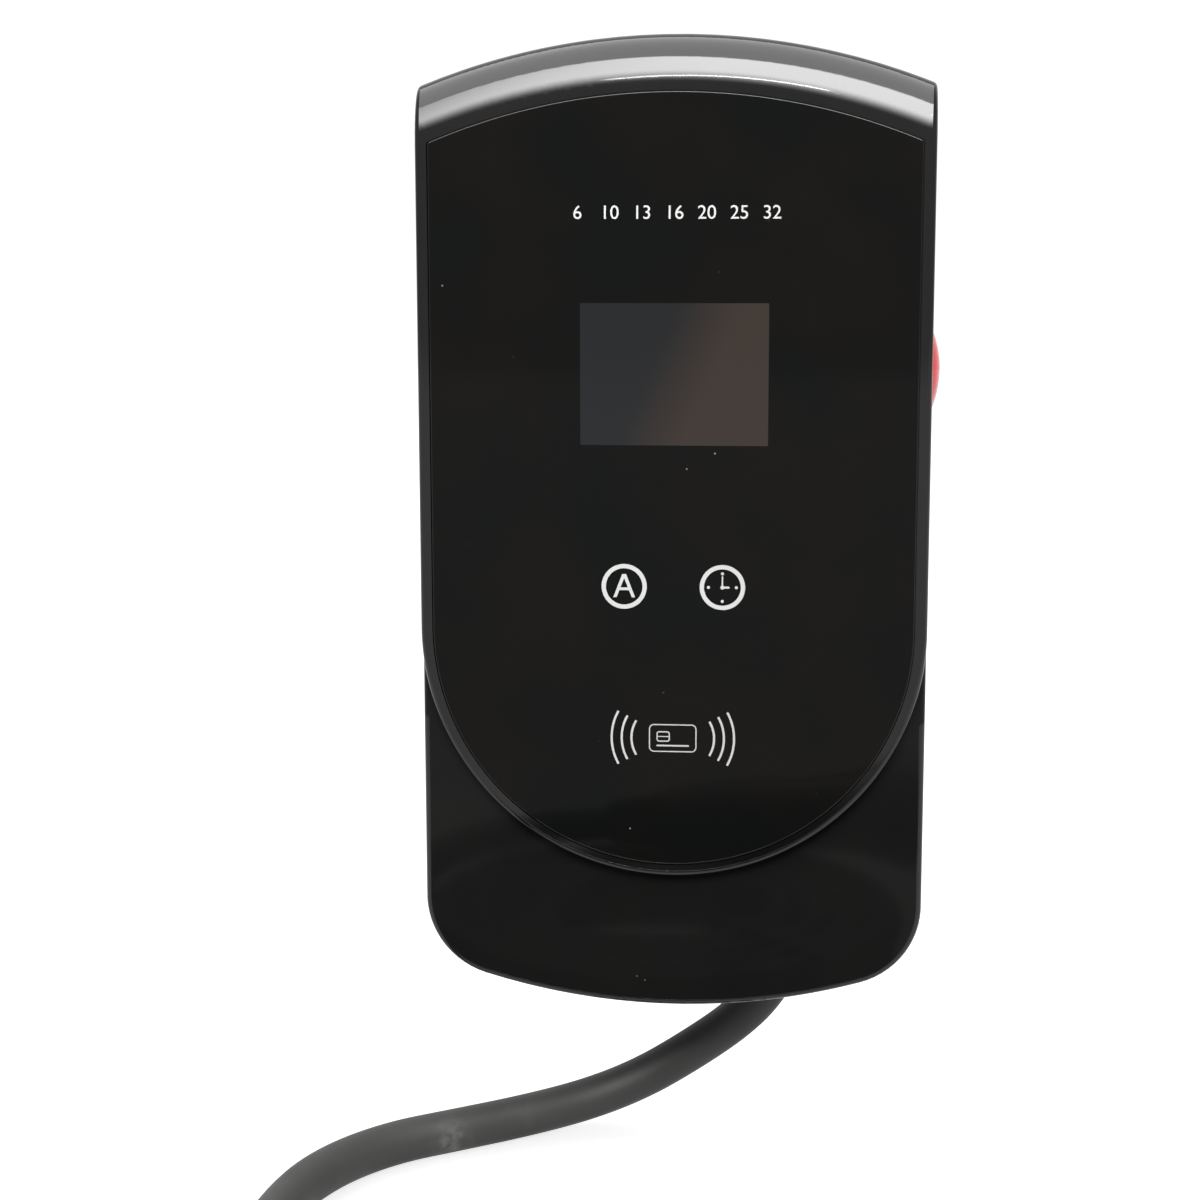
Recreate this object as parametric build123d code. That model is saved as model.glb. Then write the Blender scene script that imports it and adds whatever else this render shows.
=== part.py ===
"""Wall-mounted charging station for electric cars, with a tethered charging cable.

X runs to the right, Y towards the wall and Z up. The wall is the plane Y = 0, and the origin is the centre
of the four wall screws. All sizes are in millimetres.
"""
import math
import os

from build123d import *

os.makedirs("parts", exist_ok=True)

# Housing, seen from the front
WIDTH = 190.0
HEIGHT = 366.4
TOP_RADIUS = 256.0
BOTTOM_RADIUS = 252.0
BOTTOM_CORNER = 32.0
TOP_CORNER = 3.0
APRON_RISE = 52.6
FLOOR_GAP = 6.0

# Housing, seen from the side
DEPTH = 100.0
WALL_GAP = 8.0
REAR_DEPTH = 52.0
REAR_INSET = 1.0
WALL = 3.0
FLANGE = 8.0
EDGE_ROUND = 2.0
GASKET_WIDTH = 2.5
GASKET_DEPTH = 1.6
GASKET_INSET = 3.5

# Upper cover and touch panel
COVER_STEP = 4.5
COVER_DEPTH = 16.0
COVER_WALL = 2.5
SHOULDER_HEIGHT = 20.7
SHOULDER_DEPTH = 12.0
SHOULDER_LIP = 0.6
RIM = 4.5
PANEL_THICK = 3.0
PANEL_CHAMFER = 0.4
PANEL_CORNER = 1.5
LEDGE_WIDTH = 10.0
LEDGE_THICK = 2.5

# Clearances
GAP = 0.3
FIT = 0.05

# Front board with its display and reader antenna
BOARD_THICK = 1.6
BOARD_LAP = 4.0
DISPLAY_WIDTH = 77.0
DISPLAY_HEIGHT = 64.0
DISPLAY_DROP = 123.2
ANTENNA_WIDTH = 60.0
ANTENNA_HEIGHT = 42.0
ANTENNA_THICK = 1.2
ANTENNA_RISE = 54.0

# Main board and what stands on it
MAIN_SIDE_GAP = 22.0
MAIN_ROOF_GAP = 90.0
MAIN_FLOOR_GAP = 19.0
STANDOFF_LENGTH = 10.0
STANDOFF_WIDTH = 7.0
STANDOFF_INSET = 6.0
RELAY_SIZE = (26.0, 27.0, 38.0)
RELAY_COUNT = 3
RELAY_PITCH = 34.0
RELAY_GAP = 6.0
SUPPLY_SIZE = (58.0, 22.0, 40.0)
SUPPLY_GAP = 3.0
SUPPLY_SIDE_GAP = 14.0
CAPACITOR_RADIUS = 10.0
CAPACITOR_LENGTH = 24.0
CAPACITOR_COUNT = 2
PART_GAP = 2.0
TERMINAL_SIZE = (54.0, 26.0, 22.0)
TERMINAL_RISE = 36.0
TERMINAL_WAYS = 5
TERMINAL_HOLE = 2.4
SENSOR_WIDTH = 34.0
SENSOR_HEIGHT = 14.0
SENSOR_BORE = 10.0
SENSOR_RISE = 12.0
RIBBON_WIDTH = 24.0
RIBBON_THICK = 1.0

# Screws, with the head's radius and height for each millimetre of thread
HEAD_RADIUS = 0.95
HEAD_HEIGHT = 0.6
HOUSING_SCREW = 4.0
HOUSING_SCREW_BITE = 14.0
HOUSING_BOSS = 11.0
HOUSING_BOSS_INSET = 11.0
HOUSING_SCREW_SEAT = 30.0
HOUSING_SCREW_TOP_GAP = 30.0
HOUSING_SCREW_MID_RISE = 13.0
HOUSING_SCREW_LOW_RISE = 19.0
COVER_SCREW = 2.5
COVER_SCREW_BITE = 8.0
COVER_BOSS = 8.0
COVER_BOSS_INSET = 6.0
COVER_SCREW_MID_RISE = 45.0
COVER_SCREW_TOP_GAP = 55.0
COVER_SCREW_SLANT = 60.0
SMALL_SCREW = 2.5
SMALL_SCREW_BITE = 1.8
SMALL_SCREW_TOP_GAP = 25.0
BOARD_SCREW = 3.0
BOARD_SCREW_BITE = 6.0

# Wall bracket
BRACKET_WIDTH = 110.0
BRACKET_SHEET = 2.0
BRACKET_HOOK = 14.0
BRACKET_RISE = 90.0
BRACKET_TAB = 22.0
BRACKET_CORNER = 6.0
RAIL_INSET = 5.0
WALL_HOLE = 7.0
WALL_HOLE_SPACING_X = 80.0
WALL_HOLE_SPACING_Z = 140.0
LOCK_SCREW = 5.0
LOCK_SCREW_BITE = 8.0
LOCK_SCREW_SPACING = 30.0
LOCK_SCREW_Y = -15.0

# Emergency stop on the right side
STOP_Y = -36.0
STOP_HEAD_RADIUS = 17.0
STOP_DOME_RADIUS = 42.0
STOP_PROUD = 5.8
STOP_HEAD_THICK = 9.0
STOP_TRAVEL = 4.0
STOP_WELL_CLEARANCE = 1.5
STOP_WELL_DEPTH = 12.0
STOP_WELL_WALL = 3.0
STOP_STEM_RADIUS = 4.0
STOP_STEM_GRIP = 5.0
STOP_THREAD_RADIUS = 8.0
STOP_THREAD_SPARE = 4.0
STOP_FLANGE_RADIUS = 12.0
STOP_FLANGE_THICK = 2.5
STOP_SEAL_THICK = 0.8
STOP_NUT_AF = 22.0
STOP_NUT_THICK = 4.0
STOP_BLOCK = 22.0
STOP_BLOCK_LENGTH = 26.0
STOP_STEM_OVERTRAVEL = 2.0
STOP_GRIPS = 3
SPRING_RADIUS = 6.0
SPRING_WIRE = 0.6
SPRING_TURNS = 2.5

# Cable glands
GLAND_X = 41.0
GLAND_Y = -38.0
GLAND_THREAD = 25.0
GLAND_AF = 30.0
GLAND_HEX = 7.0
GLAND_NUT = 18.0
GLAND_NUT_WALL = 2.5
GLAND_LOCKNUT_AF = 32.0
GLAND_LOCKNUT = 5.0
GLAND_STUB = 2.0
GLAND_TAIL = 8.0
SUPPLY_BORE = 8.0

# Charging cable
CABLE = 17.0
GROUND_DROP = 68.3
CORE = 4.2
CORE_RING = 5.4
CORE_COUNT = 5
JACKET_RISE = 3.0

# The free stretch of the cable, from the gland to the coil
ROUTE = [
    (41.0, -38.0, -170.0),
    (41.0, -38.0, -184.0),
    (34.5, -38.0, -197.0),
    (22.0, -38.0, -209.5),
    (4.0, -38.3, -222.5),
    (-15.0, -40.0, -234.0),
    (-36.0, -47.0, -241.0),
    (-60.0, -62.0, -243.0),
    (-88.0, -81.0, -243.0),
    (-108.0, -94.0, -243.0),
    (-125.0, -113.5, -243.0),
    (-136.0, -137.0, -243.0),
    (-140.5, -162.0, -243.0),
    (-142.5, -198.0, -243.0),
    (-142.0, -245.0, -243.0),
    (-143.5, -300.0, -242.0),
    (-143.0, -355.0, -241.5),
]

# Coil of the put-away length, on the ground in front
COIL_CENTRE = (-23.5, -355.0)
COIL_OUTER_TURN = 119.5
COIL_INNER_TURN = 55.5
COIL_LAYERS = 2
TIE_THICK = 1.5
TIE_ANGLE = 10.0
TIE_AT = 40.0

# The end of the cable, from the coil's top to the connector, from the coil's centre and the ground
TAIL = [
    (-40.0, 110.0, 27.0),
    (-93.0, 75.0, 31.0),
    (-119.5, 26.0, 40.0),
    (-119.5, -24.0, 44.5),
    (-95.4, -66.0, 46.5),
]

# Vehicle connector, lying on the coil
CONNECTOR_X = -29.5
CONNECTOR_Y = -90.0
BOOT_LENGTH = 40.0
BOOT_GRIP = 10.0
BOOT_END_RADIUS = 11.0
BOOT_RADIUS = 15.0
BOOT_STEP = 2.0
SHELL_REAR_RADIUS = 17.0
SHELL_GRIP_RADIUS = 20.0
SHELL_WAIST_RADIUS = 22.0
SHELL_NOSE_RADIUS = 31.5
SHELL_GRIP_LENGTH = 95.0
SHELL_FLARE = 35.0
SHELL_NOSE = 45.0
NOSE_WALL = 3.0
NOSE_DEPTH = 12.0
CARRIER_THICK = 26.0
CARRIER_FLAT = 20.0
CONTACT_RING = 17.0
CONTACT_RADIUS = 4.0
CONTACT_WALL = 1.0
CONTACT_COUNT = 7
CONTACT_SPREAD = 44.0
SHELL_SCREW = 3.0
SHELL_SCREW_OFFSET = 13.0
SHELL_SCREW_REAR = 20.0
SHELL_SCREW_FRONT = 8.0
CABLE_GRIP = 25.0

# Places worked out from the sizes above
HALF = WIDTH / 2
TOP_Z = HEIGHT / 2
BOTTOM_Z = -HEIGHT / 2
GROUND_Z = BOTTOM_Z - GROUND_DROP
BOWL_LOW = BOTTOM_Z + APRON_RISE
U_Z = BOWL_LOW + HALF
FLOOR_Z = BOWL_LOW - FLOOR_GAP
FRONT = -DEPTH
PANEL_BACK = FRONT + PANEL_THICK
LEDGE_BACK = PANEL_BACK + LEDGE_THICK
BOARD_BACK = LEDGE_BACK + BOARD_THICK
COVER_BACK = FRONT + COVER_DEPTH
COVER_SCREW_SEAT = COVER_BACK + WALL - HEAD_HEIGHT * COVER_SCREW
APRON = FRONT + COVER_STEP
REAR_BACK = -WALL_GAP
PARTING = REAR_BACK - REAR_DEPTH
REAR_INSIDE = REAR_BACK - WALL
MAIN_BACK = REAR_INSIDE - STANDOFF_LENGTH
MAIN_FRONT = MAIN_BACK - BOARD_THICK
MAIN_LOW = FLOOR_Z + MAIN_FLOOR_GAP
MAIN_HIGH = TOP_Z - MAIN_ROOF_GAP
MAIN_WIDTH = WIDTH - 2 * MAIN_SIDE_GAP
TERMINAL_TOP = TERMINAL_RISE + TERMINAL_SIZE[2]
RELAY_RISE = TERMINAL_TOP + RELAY_GAP
SUPPLY_RISE = RELAY_RISE + RELAY_SIZE[2] + SUPPLY_GAP
SUPPLY_X = SUPPLY_SIDE_GAP + SUPPLY_SIZE[0] / 2 - MAIN_WIDTH / 2
SCREW_X = HALF - HOUSING_BOSS_INSET
SCREW_HIGH = TOP_Z - TOP_RADIUS + math.sqrt(TOP_RADIUS**2 - SCREW_X**2) - HOUSING_SCREW_TOP_GAP
SCREW_MID = U_Z + HOUSING_SCREW_MID_RISE
SCREW_LOW = FLOOR_Z + HOUSING_SCREW_LOW_RISE
STOP_Z = (SCREW_HIGH + SCREW_MID) / 2
ANTENNA_Z = BOWL_LOW + ANTENNA_RISE
CABLE_RADIUS = CABLE / 2


def slab(face, front, back):
    """A face drawn in X and Z, made solid from Y = front to Y = back."""
    return extrude(Plane.XZ.offset(-back) * face, amount=back - front, dir=(0, -1, 0))


def block(x, y, z):
    """A box between the given pairs of X, Y and Z."""
    size = [end - start for start, end in (x, y, z)]
    middle = [(start + end) / 2 for start, end in (x, y, z)]
    return Pos(*middle) * Box(*size)


def rod(axis, shape, start, end, centre):
    """A flat shape made solid along X, Y or Z from start to end, about a centre in the other two axes."""
    if axis == "X":
        plane = Plane((start, *centre), x_dir=(0, 1, 0), z_dir=(1, 0, 0))
    elif axis == "Y":
        plane = Plane((centre[0], start, centre[1]), x_dir=(1, 0, 0), z_dir=(0, 1, 0))
    else:
        plane = Plane((*centre, start), x_dir=(1, 0, 0), z_dir=(0, 0, 1))
    return extrude(plane * shape, amount=end - start)


def screw(axis, size, seat, tip, centre):
    """A pan-head screw whose head stands on the seat, on the far side from the tip."""
    into = 1 if tip > seat else -1
    shank = rod(axis, Circle(size / 2), min(seat, tip), max(seat, tip), centre)
    top = seat - into * HEAD_HEIGHT * size
    head = rod(axis, Circle(HEAD_RADIUS * size), min(seat, top), max(seat, top), centre)
    return shank + head


def group(solids):
    """Separate solids kept together as one piece."""
    return Compound(children=[solid.solid() for solid in solids])


def arc_drop(radius, half):
    """How far an arc falls from its middle to half a chord away."""
    return radius - math.sqrt(radius**2 - half**2)


def top_arc(half, inset):
    """The arched top edge, moved inwards, with the height of its ends."""
    apex = TOP_Z - inset
    end = apex - arc_drop(TOP_RADIUS - inset, half)
    return ThreePointArc((-half, end), (0, apex), (half, end)), end


def cover_outline(side_inset, top_inset, corner):
    """The cover's arched top, straight sides and half-round bottom, moved inwards."""
    half = HALF - side_inset
    top, end = top_arc(half, top_inset)
    right = Line((half, end), (half, U_Z))
    bowl = ThreePointArc((half, U_Z), (0, U_Z - half), (-half, U_Z))
    left = Line((-half, U_Z), (-half, end))
    face = Face(Wire([top, right, bowl, left]))
    return face.fillet_2d(corner, [v for v in face.vertices() if v.Y > U_Z + 1])


def housing_outline(inset):
    """The whole front outline with its arched top and bottom, moved inwards."""
    half = HALF - inset
    top, high = top_arc(half, inset)
    apex = BOTTOM_Z + inset
    low = apex + arc_drop(BOTTOM_RADIUS - inset, half)
    right = Line((half, high), (half, low))
    bottom = ThreePointArc((half, low), (0, apex), (-half, low))
    left = Line((-half, low), (-half, high))
    face = Face(Wire([top, right, bottom, left]))
    face = face.fillet_2d(BOTTOM_CORNER - inset, [v for v in face.vertices() if v.Y < 0])
    return face.fillet_2d(TOP_CORNER, face.vertices().sort_by(Axis.Y)[-2:])


def rear_outline(inset):
    """The rear housing's arched top, straight sides and flat bottom, moved inwards."""
    half = HALF - inset
    top, high = top_arc(half, inset)
    low = FLOOR_Z + inset
    right = Line((half, high), (half, low))
    bottom = Line((half, low), (-half, low))
    left = Line((-half, low), (-half, high))
    face = Face(Wire([top, right, bottom, left]))
    return face.fillet_2d(TOP_CORNER, face.vertices())


def housing_screw_places():
    """Where the screws that close the housing stand, as X and Z."""
    return [(side * SCREW_X, z) for z in (SCREW_HIGH, SCREW_MID, SCREW_LOW) for side in (-1, 1)]


def cover_screw_places():
    """Where the screws that hold the cover stand, as X and Z."""
    reach = HALF - COVER_BOSS_INSET
    slant = math.radians(COVER_SCREW_SLANT)
    bowl = (reach * math.cos(slant), U_Z - reach * math.sin(slant))
    high = TOP_Z - arc_drop(TOP_RADIUS, reach) - COVER_SCREW_TOP_GAP
    spots = [(reach, U_Z + COVER_SCREW_MID_RISE), (reach, high), bowl]
    return [(side * x, z) for x, z in spots for side in (-1, 1)]


def front_board_screw_places():
    """Where the front board's screws stand on the ledge, as X and Z."""
    reach = HALF - RIM - LEDGE_WIDTH + BOARD_LAP / 2
    inner = TOP_RADIUS - SHOULDER_HEIGHT
    high = TOP_Z - SHOULDER_HEIGHT - arc_drop(inner, reach) - SMALL_SCREW_TOP_GAP
    sides = [(side * reach, z) for z in (U_Z, high) for side in (-1, 1)]
    return sides + [(0, U_Z - reach)]


def touch_panel():
    """Acrylic front plate, printed on its back, with a fine broken edge."""
    outline = cover_outline(RIM + GAP, SHOULDER_HEIGHT + GAP, PANEL_CORNER)
    plate = slab(outline, FRONT, PANEL_BACK)
    rim = plate.edges().filter_by_position(Axis.Y, FRONT - FIT, FRONT + FIT)
    return chamfer(rim, PANEL_CHAMFER)


def shoulder_form():
    """The top's arch with its rounded shoulder, a section with a quarter ellipse turned about the centre."""
    start = TOP_RADIUS - SHOULDER_HEIGHT + SHOULDER_LIP
    back = FRONT + SHOULDER_DEPTH
    width = TOP_RADIUS - start
    curve = EllipticalCenterArc((start, back), width, SHOULDER_DEPTH, start_angle=270, arc_size=90)
    outside = [(TOP_RADIUS, back), (TOP_RADIUS, COVER_BACK), (0, COVER_BACK), (0, FRONT), (start, FRONT)]
    rest = Polyline(*outside)
    profile = Face(Wire(curve.edges() + rest.edges()))
    centre = (0, 0, TOP_Z - TOP_RADIUS)
    section = Plane(centre, x_dir=(0, 0, 1), z_dir=(-1, 0, 0)) * profile
    return revolve(section, Axis(centre, (0, 1, 0)))


def on_cover_rim(point):
    """Whether an edge with this middle point runs up the cover's sides or round its bowl."""
    side = abs(point.X) > HALF - FIT and point.Y < COVER_BACK - FIT and abs(point.Z - U_Z) > FIT
    bowl = point.Z < U_Z - FIT and point.Y < FRONT + FIT
    return side or bowl


def upper_cover():
    """Glossy U-shaped moulding that frames the touch panel."""
    sides = Pos(0, U_Z + HEIGHT / 2) * Rectangle(WIDTH, HEIGHT) + Pos(0, U_Z) * Circle(HALF)
    body = slab(sides.face(), FRONT, COVER_BACK) & shoulder_form()
    body = fillet([e for e in body.edges() if on_cover_rim(e.center())], EDGE_ROUND)
    body -= slab(cover_outline(RIM, SHOULDER_HEIGHT, PANEL_CORNER), FRONT - 1, PANEL_BACK)
    window = cover_outline(RIM + LEDGE_WIDTH, SHOULDER_HEIGHT + LEDGE_WIDTH, PANEL_CORNER)
    body -= slab(window, PANEL_BACK, LEDGE_BACK)
    body -= slab(cover_outline(COVER_WALL, SHOULDER_HEIGHT / 3, TOP_CORNER), LEDGE_BACK, COVER_BACK)
    for place in cover_screw_places():
        body += rod("Y", Circle(COVER_BOSS / 2), LEDGE_BACK, COVER_BACK, place)
    tip = COVER_BACK - COVER_SCREW_BITE - GAP
    for place in cover_screw_places():
        body -= rod("Y", Circle(COVER_SCREW / 2 + FIT), tip, COVER_BACK, place)
    small_tip = LEDGE_BACK - SMALL_SCREW_BITE - FIT
    for place in front_board_screw_places():
        body -= rod("Y", Circle(SMALL_SCREW / 2 + FIT), small_tip, LEDGE_BACK, place)
    return body


def front_housing():
    """Glossy front shell: the apron below the cover, the side walls and the skirt that hides the glands."""
    body = slab(housing_outline(0), APRON, PARTING)
    rim = body.edges().filter_by_position(Axis.Y, APRON - FIT, APRON + FIT)
    body = fillet(rim, EDGE_ROUND)
    body -= slab(cover_outline(-GAP, -TOP_CORNER, TOP_CORNER), FRONT, COVER_BACK)
    wall_back = COVER_BACK + WALL
    inside = housing_outline(WALL)
    body -= slab(inside, wall_back, PARTING)
    body -= slab(inside, APRON + WALL, wall_back) - slab(
        cover_outline(-GAP - WALL, -TOP_CORNER, TOP_CORNER), FRONT, wall_back
    )
    half = HALF - WALL
    body += block((-half, half), (APRON + WALL, PARTING), (FLOOR_Z, FLOOR_Z + WALL))
    flange = slab(housing_outline(WALL / 2), PARTING - WALL, PARTING) - slab(
        rear_outline(FLANGE), PARTING - WALL, PARTING
    )
    body += flange - block((-HALF, HALF), (PARTING - WALL, PARTING), (BOTTOM_Z, FLOOR_Z))
    window = cover_outline(RIM + LEDGE_WIDTH, SHOULDER_HEIGHT + LEDGE_WIDTH, TOP_CORNER)
    body -= slab(window, COVER_BACK, wall_back)
    for x, z in housing_screw_places():
        reach = APRON + WALL if z < U_Z - HALF / 2 else wall_back
        body += rod("Y", Circle(HOUSING_BOSS / 2), reach, PARTING, (x, z))
        tip = PARTING - HOUSING_SCREW_BITE - GAP
        body -= rod("Y", Circle(HOUSING_SCREW / 2 + FIT), tip, PARTING, (x, z))
    for place in cover_screw_places():
        body -= rod("Y", Circle(COVER_SCREW / 2 + GAP), COVER_BACK, wall_back, place)
        body -= rod("Y", Circle(HEAD_RADIUS * COVER_SCREW + GAP), COVER_SCREW_SEAT, wall_back, place)
    return body


def gasket_ring():
    """The sealing ring's run around the rear housing's flange."""
    ring = slab(rear_outline(GASKET_INSET), PARTING, PARTING + GASKET_DEPTH)
    return ring - slab(rear_outline(GASKET_INSET + GASKET_WIDTH), PARTING, PARTING + GASKET_DEPTH)


def stop_well(radius, floor, mouth):
    """A round well in the right side wall, between two X places."""
    return rod("X", Circle(radius), floor, mouth, (STOP_Y, STOP_Z))


def rear_housing():
    """Matt rear tray with the hanging rail, the emergency-stop well and the gland holes."""
    side = HALF - REAR_INSET
    body = slab(rear_outline(REAR_INSET), PARTING, REAR_BACK)
    body -= slab(rear_outline(REAR_INSET + WALL), PARTING + WALL, REAR_INSIDE)
    body -= slab(rear_outline(FLANGE), PARTING, PARTING + WALL)
    for x, z in housing_screw_places():
        body += rod("Y", Circle(HOUSING_BOSS / 2), PARTING, REAR_INSIDE, (x, z))
        body -= rod("Y", Circle(HOUSING_SCREW / 2 + GAP), PARTING, REAR_BACK, (x, z))
        body -= rod("Y", Circle(HOUSING_SCREW + GAP), PARTING + HOUSING_SCREW_SEAT, REAR_BACK, (x, z))
    well = STOP_HEAD_RADIUS + STOP_WELL_CLEARANCE
    floor = side - STOP_WELL_DEPTH
    body += stop_well(well + STOP_WELL_WALL, floor - WALL, side - WALL / 2)
    body -= stop_well(well, floor, side)
    body -= stop_well(STOP_THREAD_RADIUS + GAP, floor - WALL, floor)
    for x in (-GLAND_X, GLAND_X):
        body -= rod("Z", Circle(GLAND_THREAD / 2 + GAP), FLOOR_Z, FLOOR_Z + WALL + REAR_INSET, (x, GLAND_Y))
    inside = FLOOR_Z + REAR_INSET
    for x in (-LOCK_SCREW_SPACING / 2, LOCK_SCREW_SPACING / 2):
        place = (x, LOCK_SCREW_Y)
        body += block((x - LOCK_SCREW, x + LOCK_SCREW), (LOCK_SCREW_Y - LOCK_SCREW, REAR_INSIDE),
                      (inside, inside + LOCK_SCREW_BITE + WALL))
        body -= rod("Z", Circle(LOCK_SCREW / 2 + FIT), inside, inside + LOCK_SCREW_BITE + GAP, place)
    body += hanging_rail()
    return body - gasket_ring()


def hanging_rail():
    """The lip on the back that drops behind the bracket's hook."""
    half = BRACKET_WIDTH / 2 - RAIL_INSET
    seat = BRACKET_RISE + BRACKET_HOOK
    lip_back = -BRACKET_SHEET - FIT
    lip_front = hook_back() + FIT
    shelf = block((-half, half), (REAR_BACK, lip_back), (seat, seat + WALL))
    lip = block((-half, half), (lip_front, lip_back), (BRACKET_RISE + GAP, seat))
    return shelf + lip


def hook_back():
    """The wall side of the bracket's hook."""
    return REAR_BACK + BRACKET_SHEET + FIT


def wall_bracket():
    """Folded steel sheet with four wall holes, a hook along its top and a tab under the housing."""
    half = BRACKET_WIDTH / 2
    low = FLOOR_Z + REAR_INSET - BRACKET_SHEET
    sheet = BRACKET_SHEET
    back = hook_back()
    fold = BRACKET_RISE - sheet
    body = block((-half, half), (-sheet, 0), (low, BRACKET_RISE))
    body += block((-half, half), (back - sheet, 0), (fold, BRACKET_RISE))
    body += block((-half, half), (back - sheet, back), (fold, BRACKET_RISE + BRACKET_HOOK))
    tab = LOCK_SCREW_SPACING / 2 + 3 * LOCK_SCREW
    body += block((-tab, tab), (-BRACKET_TAB, 0), (low, low + sheet))
    middles = [(edge, edge.center()) for edge in body.edges().filter_by(Axis.Y)]
    corners = [edge for edge, at in middles if at.Z < low + FIT and abs(at.X) > tab + FIT]
    body = fillet(corners, BRACKET_CORNER)
    body = fillet(body.edges().filter_by(Axis.Z).group_by(Axis.Y)[0], BRACKET_CORNER)
    for x in (-WALL_HOLE_SPACING_X / 2, WALL_HOLE_SPACING_X / 2):
        for z in (-WALL_HOLE_SPACING_Z / 2, WALL_HOLE_SPACING_Z / 2):
            body -= rod("Y", Circle(WALL_HOLE / 2), -sheet, 0, (x, z))
    for x in (-LOCK_SCREW_SPACING / 2, LOCK_SCREW_SPACING / 2):
        body -= rod("Z", Circle(LOCK_SCREW / 2 + GAP), low, low + sheet, (x, LOCK_SCREW_Y))
    return body


def bracket_screws():
    """The two screws that lock the housing to the bracket's tab."""
    seat = FLOOR_Z + REAR_INSET - BRACKET_SHEET
    tip = FLOOR_Z + REAR_INSET + LOCK_SCREW_BITE
    places = [(x, LOCK_SCREW_Y) for x in (-LOCK_SCREW_SPACING / 2, LOCK_SCREW_SPACING / 2)]
    return group([screw("Z", LOCK_SCREW, seat, tip, place) for place in places])


def front_board():
    """Circuit board behind the panel, lapping the ledge of the cover."""
    lap = LEDGE_WIDTH - BOARD_LAP
    plate = slab(cover_outline(RIM + lap, SHOULDER_HEIGHT + lap, PANEL_CORNER), LEDGE_BACK, BOARD_BACK)
    for place in front_board_screw_places():
        plate -= rod("Y", Circle(SMALL_SCREW / 2 + FIT), LEDGE_BACK, BOARD_BACK, place)
    return plate


def on_front_board(width, height, thick, z):
    """A flat module standing on the front board, centred at a height."""
    upright = (z - height / 2, z + height / 2)
    return block((-width / 2, width / 2), (LEDGE_BACK - thick, LEDGE_BACK), upright)


def main_board_corners():
    """Where the main board's standoffs stand, as X and Z."""
    x = MAIN_WIDTH / 2 - STANDOFF_INSET
    heights = (MAIN_LOW + STANDOFF_INSET, MAIN_HIGH - STANDOFF_INSET)
    return [(side * x, z) for z in heights for side in (-1, 1)]


def main_board():
    """The power and control board."""
    plate = block((-MAIN_WIDTH / 2, MAIN_WIDTH / 2), (MAIN_FRONT, MAIN_BACK), (MAIN_LOW, MAIN_HIGH))
    for place in main_board_corners():
        plate -= rod("Y", Circle(BOARD_SCREW / 2 + FIT), MAIN_FRONT, MAIN_BACK, place)
    return plate


def board_standoffs():
    """Hexagonal brass standoffs between the rear housing and the main board."""
    hexagon = RegularPolygon(STANDOFF_WIDTH / 2, 6, major_radius=False)
    posts = []
    for place in main_board_corners():
        post = rod("Y", hexagon, MAIN_BACK, REAR_INSIDE, place)
        hole = rod("Y", Circle(BOARD_SCREW / 2 + FIT), MAIN_BACK, MAIN_BACK + BOARD_SCREW_BITE + GAP, place)
        posts.append(post - hole)
    return group(posts)


def on_main_board(size, x, rise):
    """A component standing on the main board, centred on X, at a height above the board's lower edge."""
    width, depth, height = size
    low = MAIN_LOW + rise
    return block((x - width / 2, x + width / 2), (MAIN_FRONT - depth, MAIN_FRONT), (low, low + height))


def relays():
    """A row of power relays, with rounded case edges."""
    start = -RELAY_PITCH * (RELAY_COUNT - 1) / 2
    cases = []
    for number in range(RELAY_COUNT):
        case = on_main_board(RELAY_SIZE, start + number * RELAY_PITCH, RELAY_RISE)
        cases.append(fillet(case.edges().filter_by(Axis.Y), 1.5))
    return group(cases)


def power_supply():
    """Potted power supply with rounded case edges."""
    case = on_main_board(SUPPLY_SIZE, SUPPLY_X, SUPPLY_RISE)
    return fillet(case.edges().filter_by(Axis.Y), 2.0)


def capacitors():
    """Electrolytic capacitors, one above the other beside the supply."""
    x = SUPPLY_X + SUPPLY_SIZE[0] / 2 + CAPACITOR_RADIUS + PART_GAP
    cans = []
    for number in range(CAPACITOR_COUNT):
        z = MAIN_LOW + SUPPLY_RISE + CAPACITOR_RADIUS + number * (2 * CAPACITOR_RADIUS + PART_GAP)
        cans.append(rod("Y", Circle(CAPACITOR_RADIUS), MAIN_FRONT - CAPACITOR_LENGTH, MAIN_FRONT, (x, z)))
    return group([fillet(can.edges().group_by(Axis.Y)[0], 1.0) for can in cans])


def core_places(x):
    """Where the conductors stand in the cable, as X and Y."""
    turns = [i * math.tau / CORE_COUNT for i in range(CORE_COUNT)]
    return [(x + CORE_RING * math.cos(a), GLAND_Y + CORE_RING * math.sin(a)) for a in turns]


def terminals(x):
    """A terminal block with a screw hole on the front for each way."""
    body = on_main_board(TERMINAL_SIZE, x, TERMINAL_RISE)
    width, depth, height = TERMINAL_SIZE
    pitch = width / TERMINAL_WAYS
    z = MAIN_LOW + TERMINAL_RISE + height / 2
    for number in range(TERMINAL_WAYS):
        spot = (x - width / 2 + (number + 0.5) * pitch, z)
        body -= rod("Y", Circle(TERMINAL_HOLE), MAIN_FRONT - depth, MAIN_FRONT - depth / 2, spot)
    return body


def residual_sensor():
    """Sensor block on the main board, with the conductors passing through its bore."""
    depth = 2 * (MAIN_FRONT - GLAND_Y)
    size = (SENSOR_WIDTH, depth, SENSOR_HEIGHT)
    body = on_main_board(size, GLAND_X, SENSOR_RISE)
    low = MAIN_LOW + SENSOR_RISE
    return body - rod("Z", Circle(SENSOR_BORE), low, low + SENSOR_HEIGHT, (GLAND_X, GLAND_Y))


def output_conductors():
    """Five insulated conductors from the cable's jacket up to the output terminals."""
    low = jacket_top()
    high = MAIN_LOW + TERMINAL_RISE
    return group([rod("Z", Circle(CORE / 2), low, high, place) for place in core_places(GLAND_X)])


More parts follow.
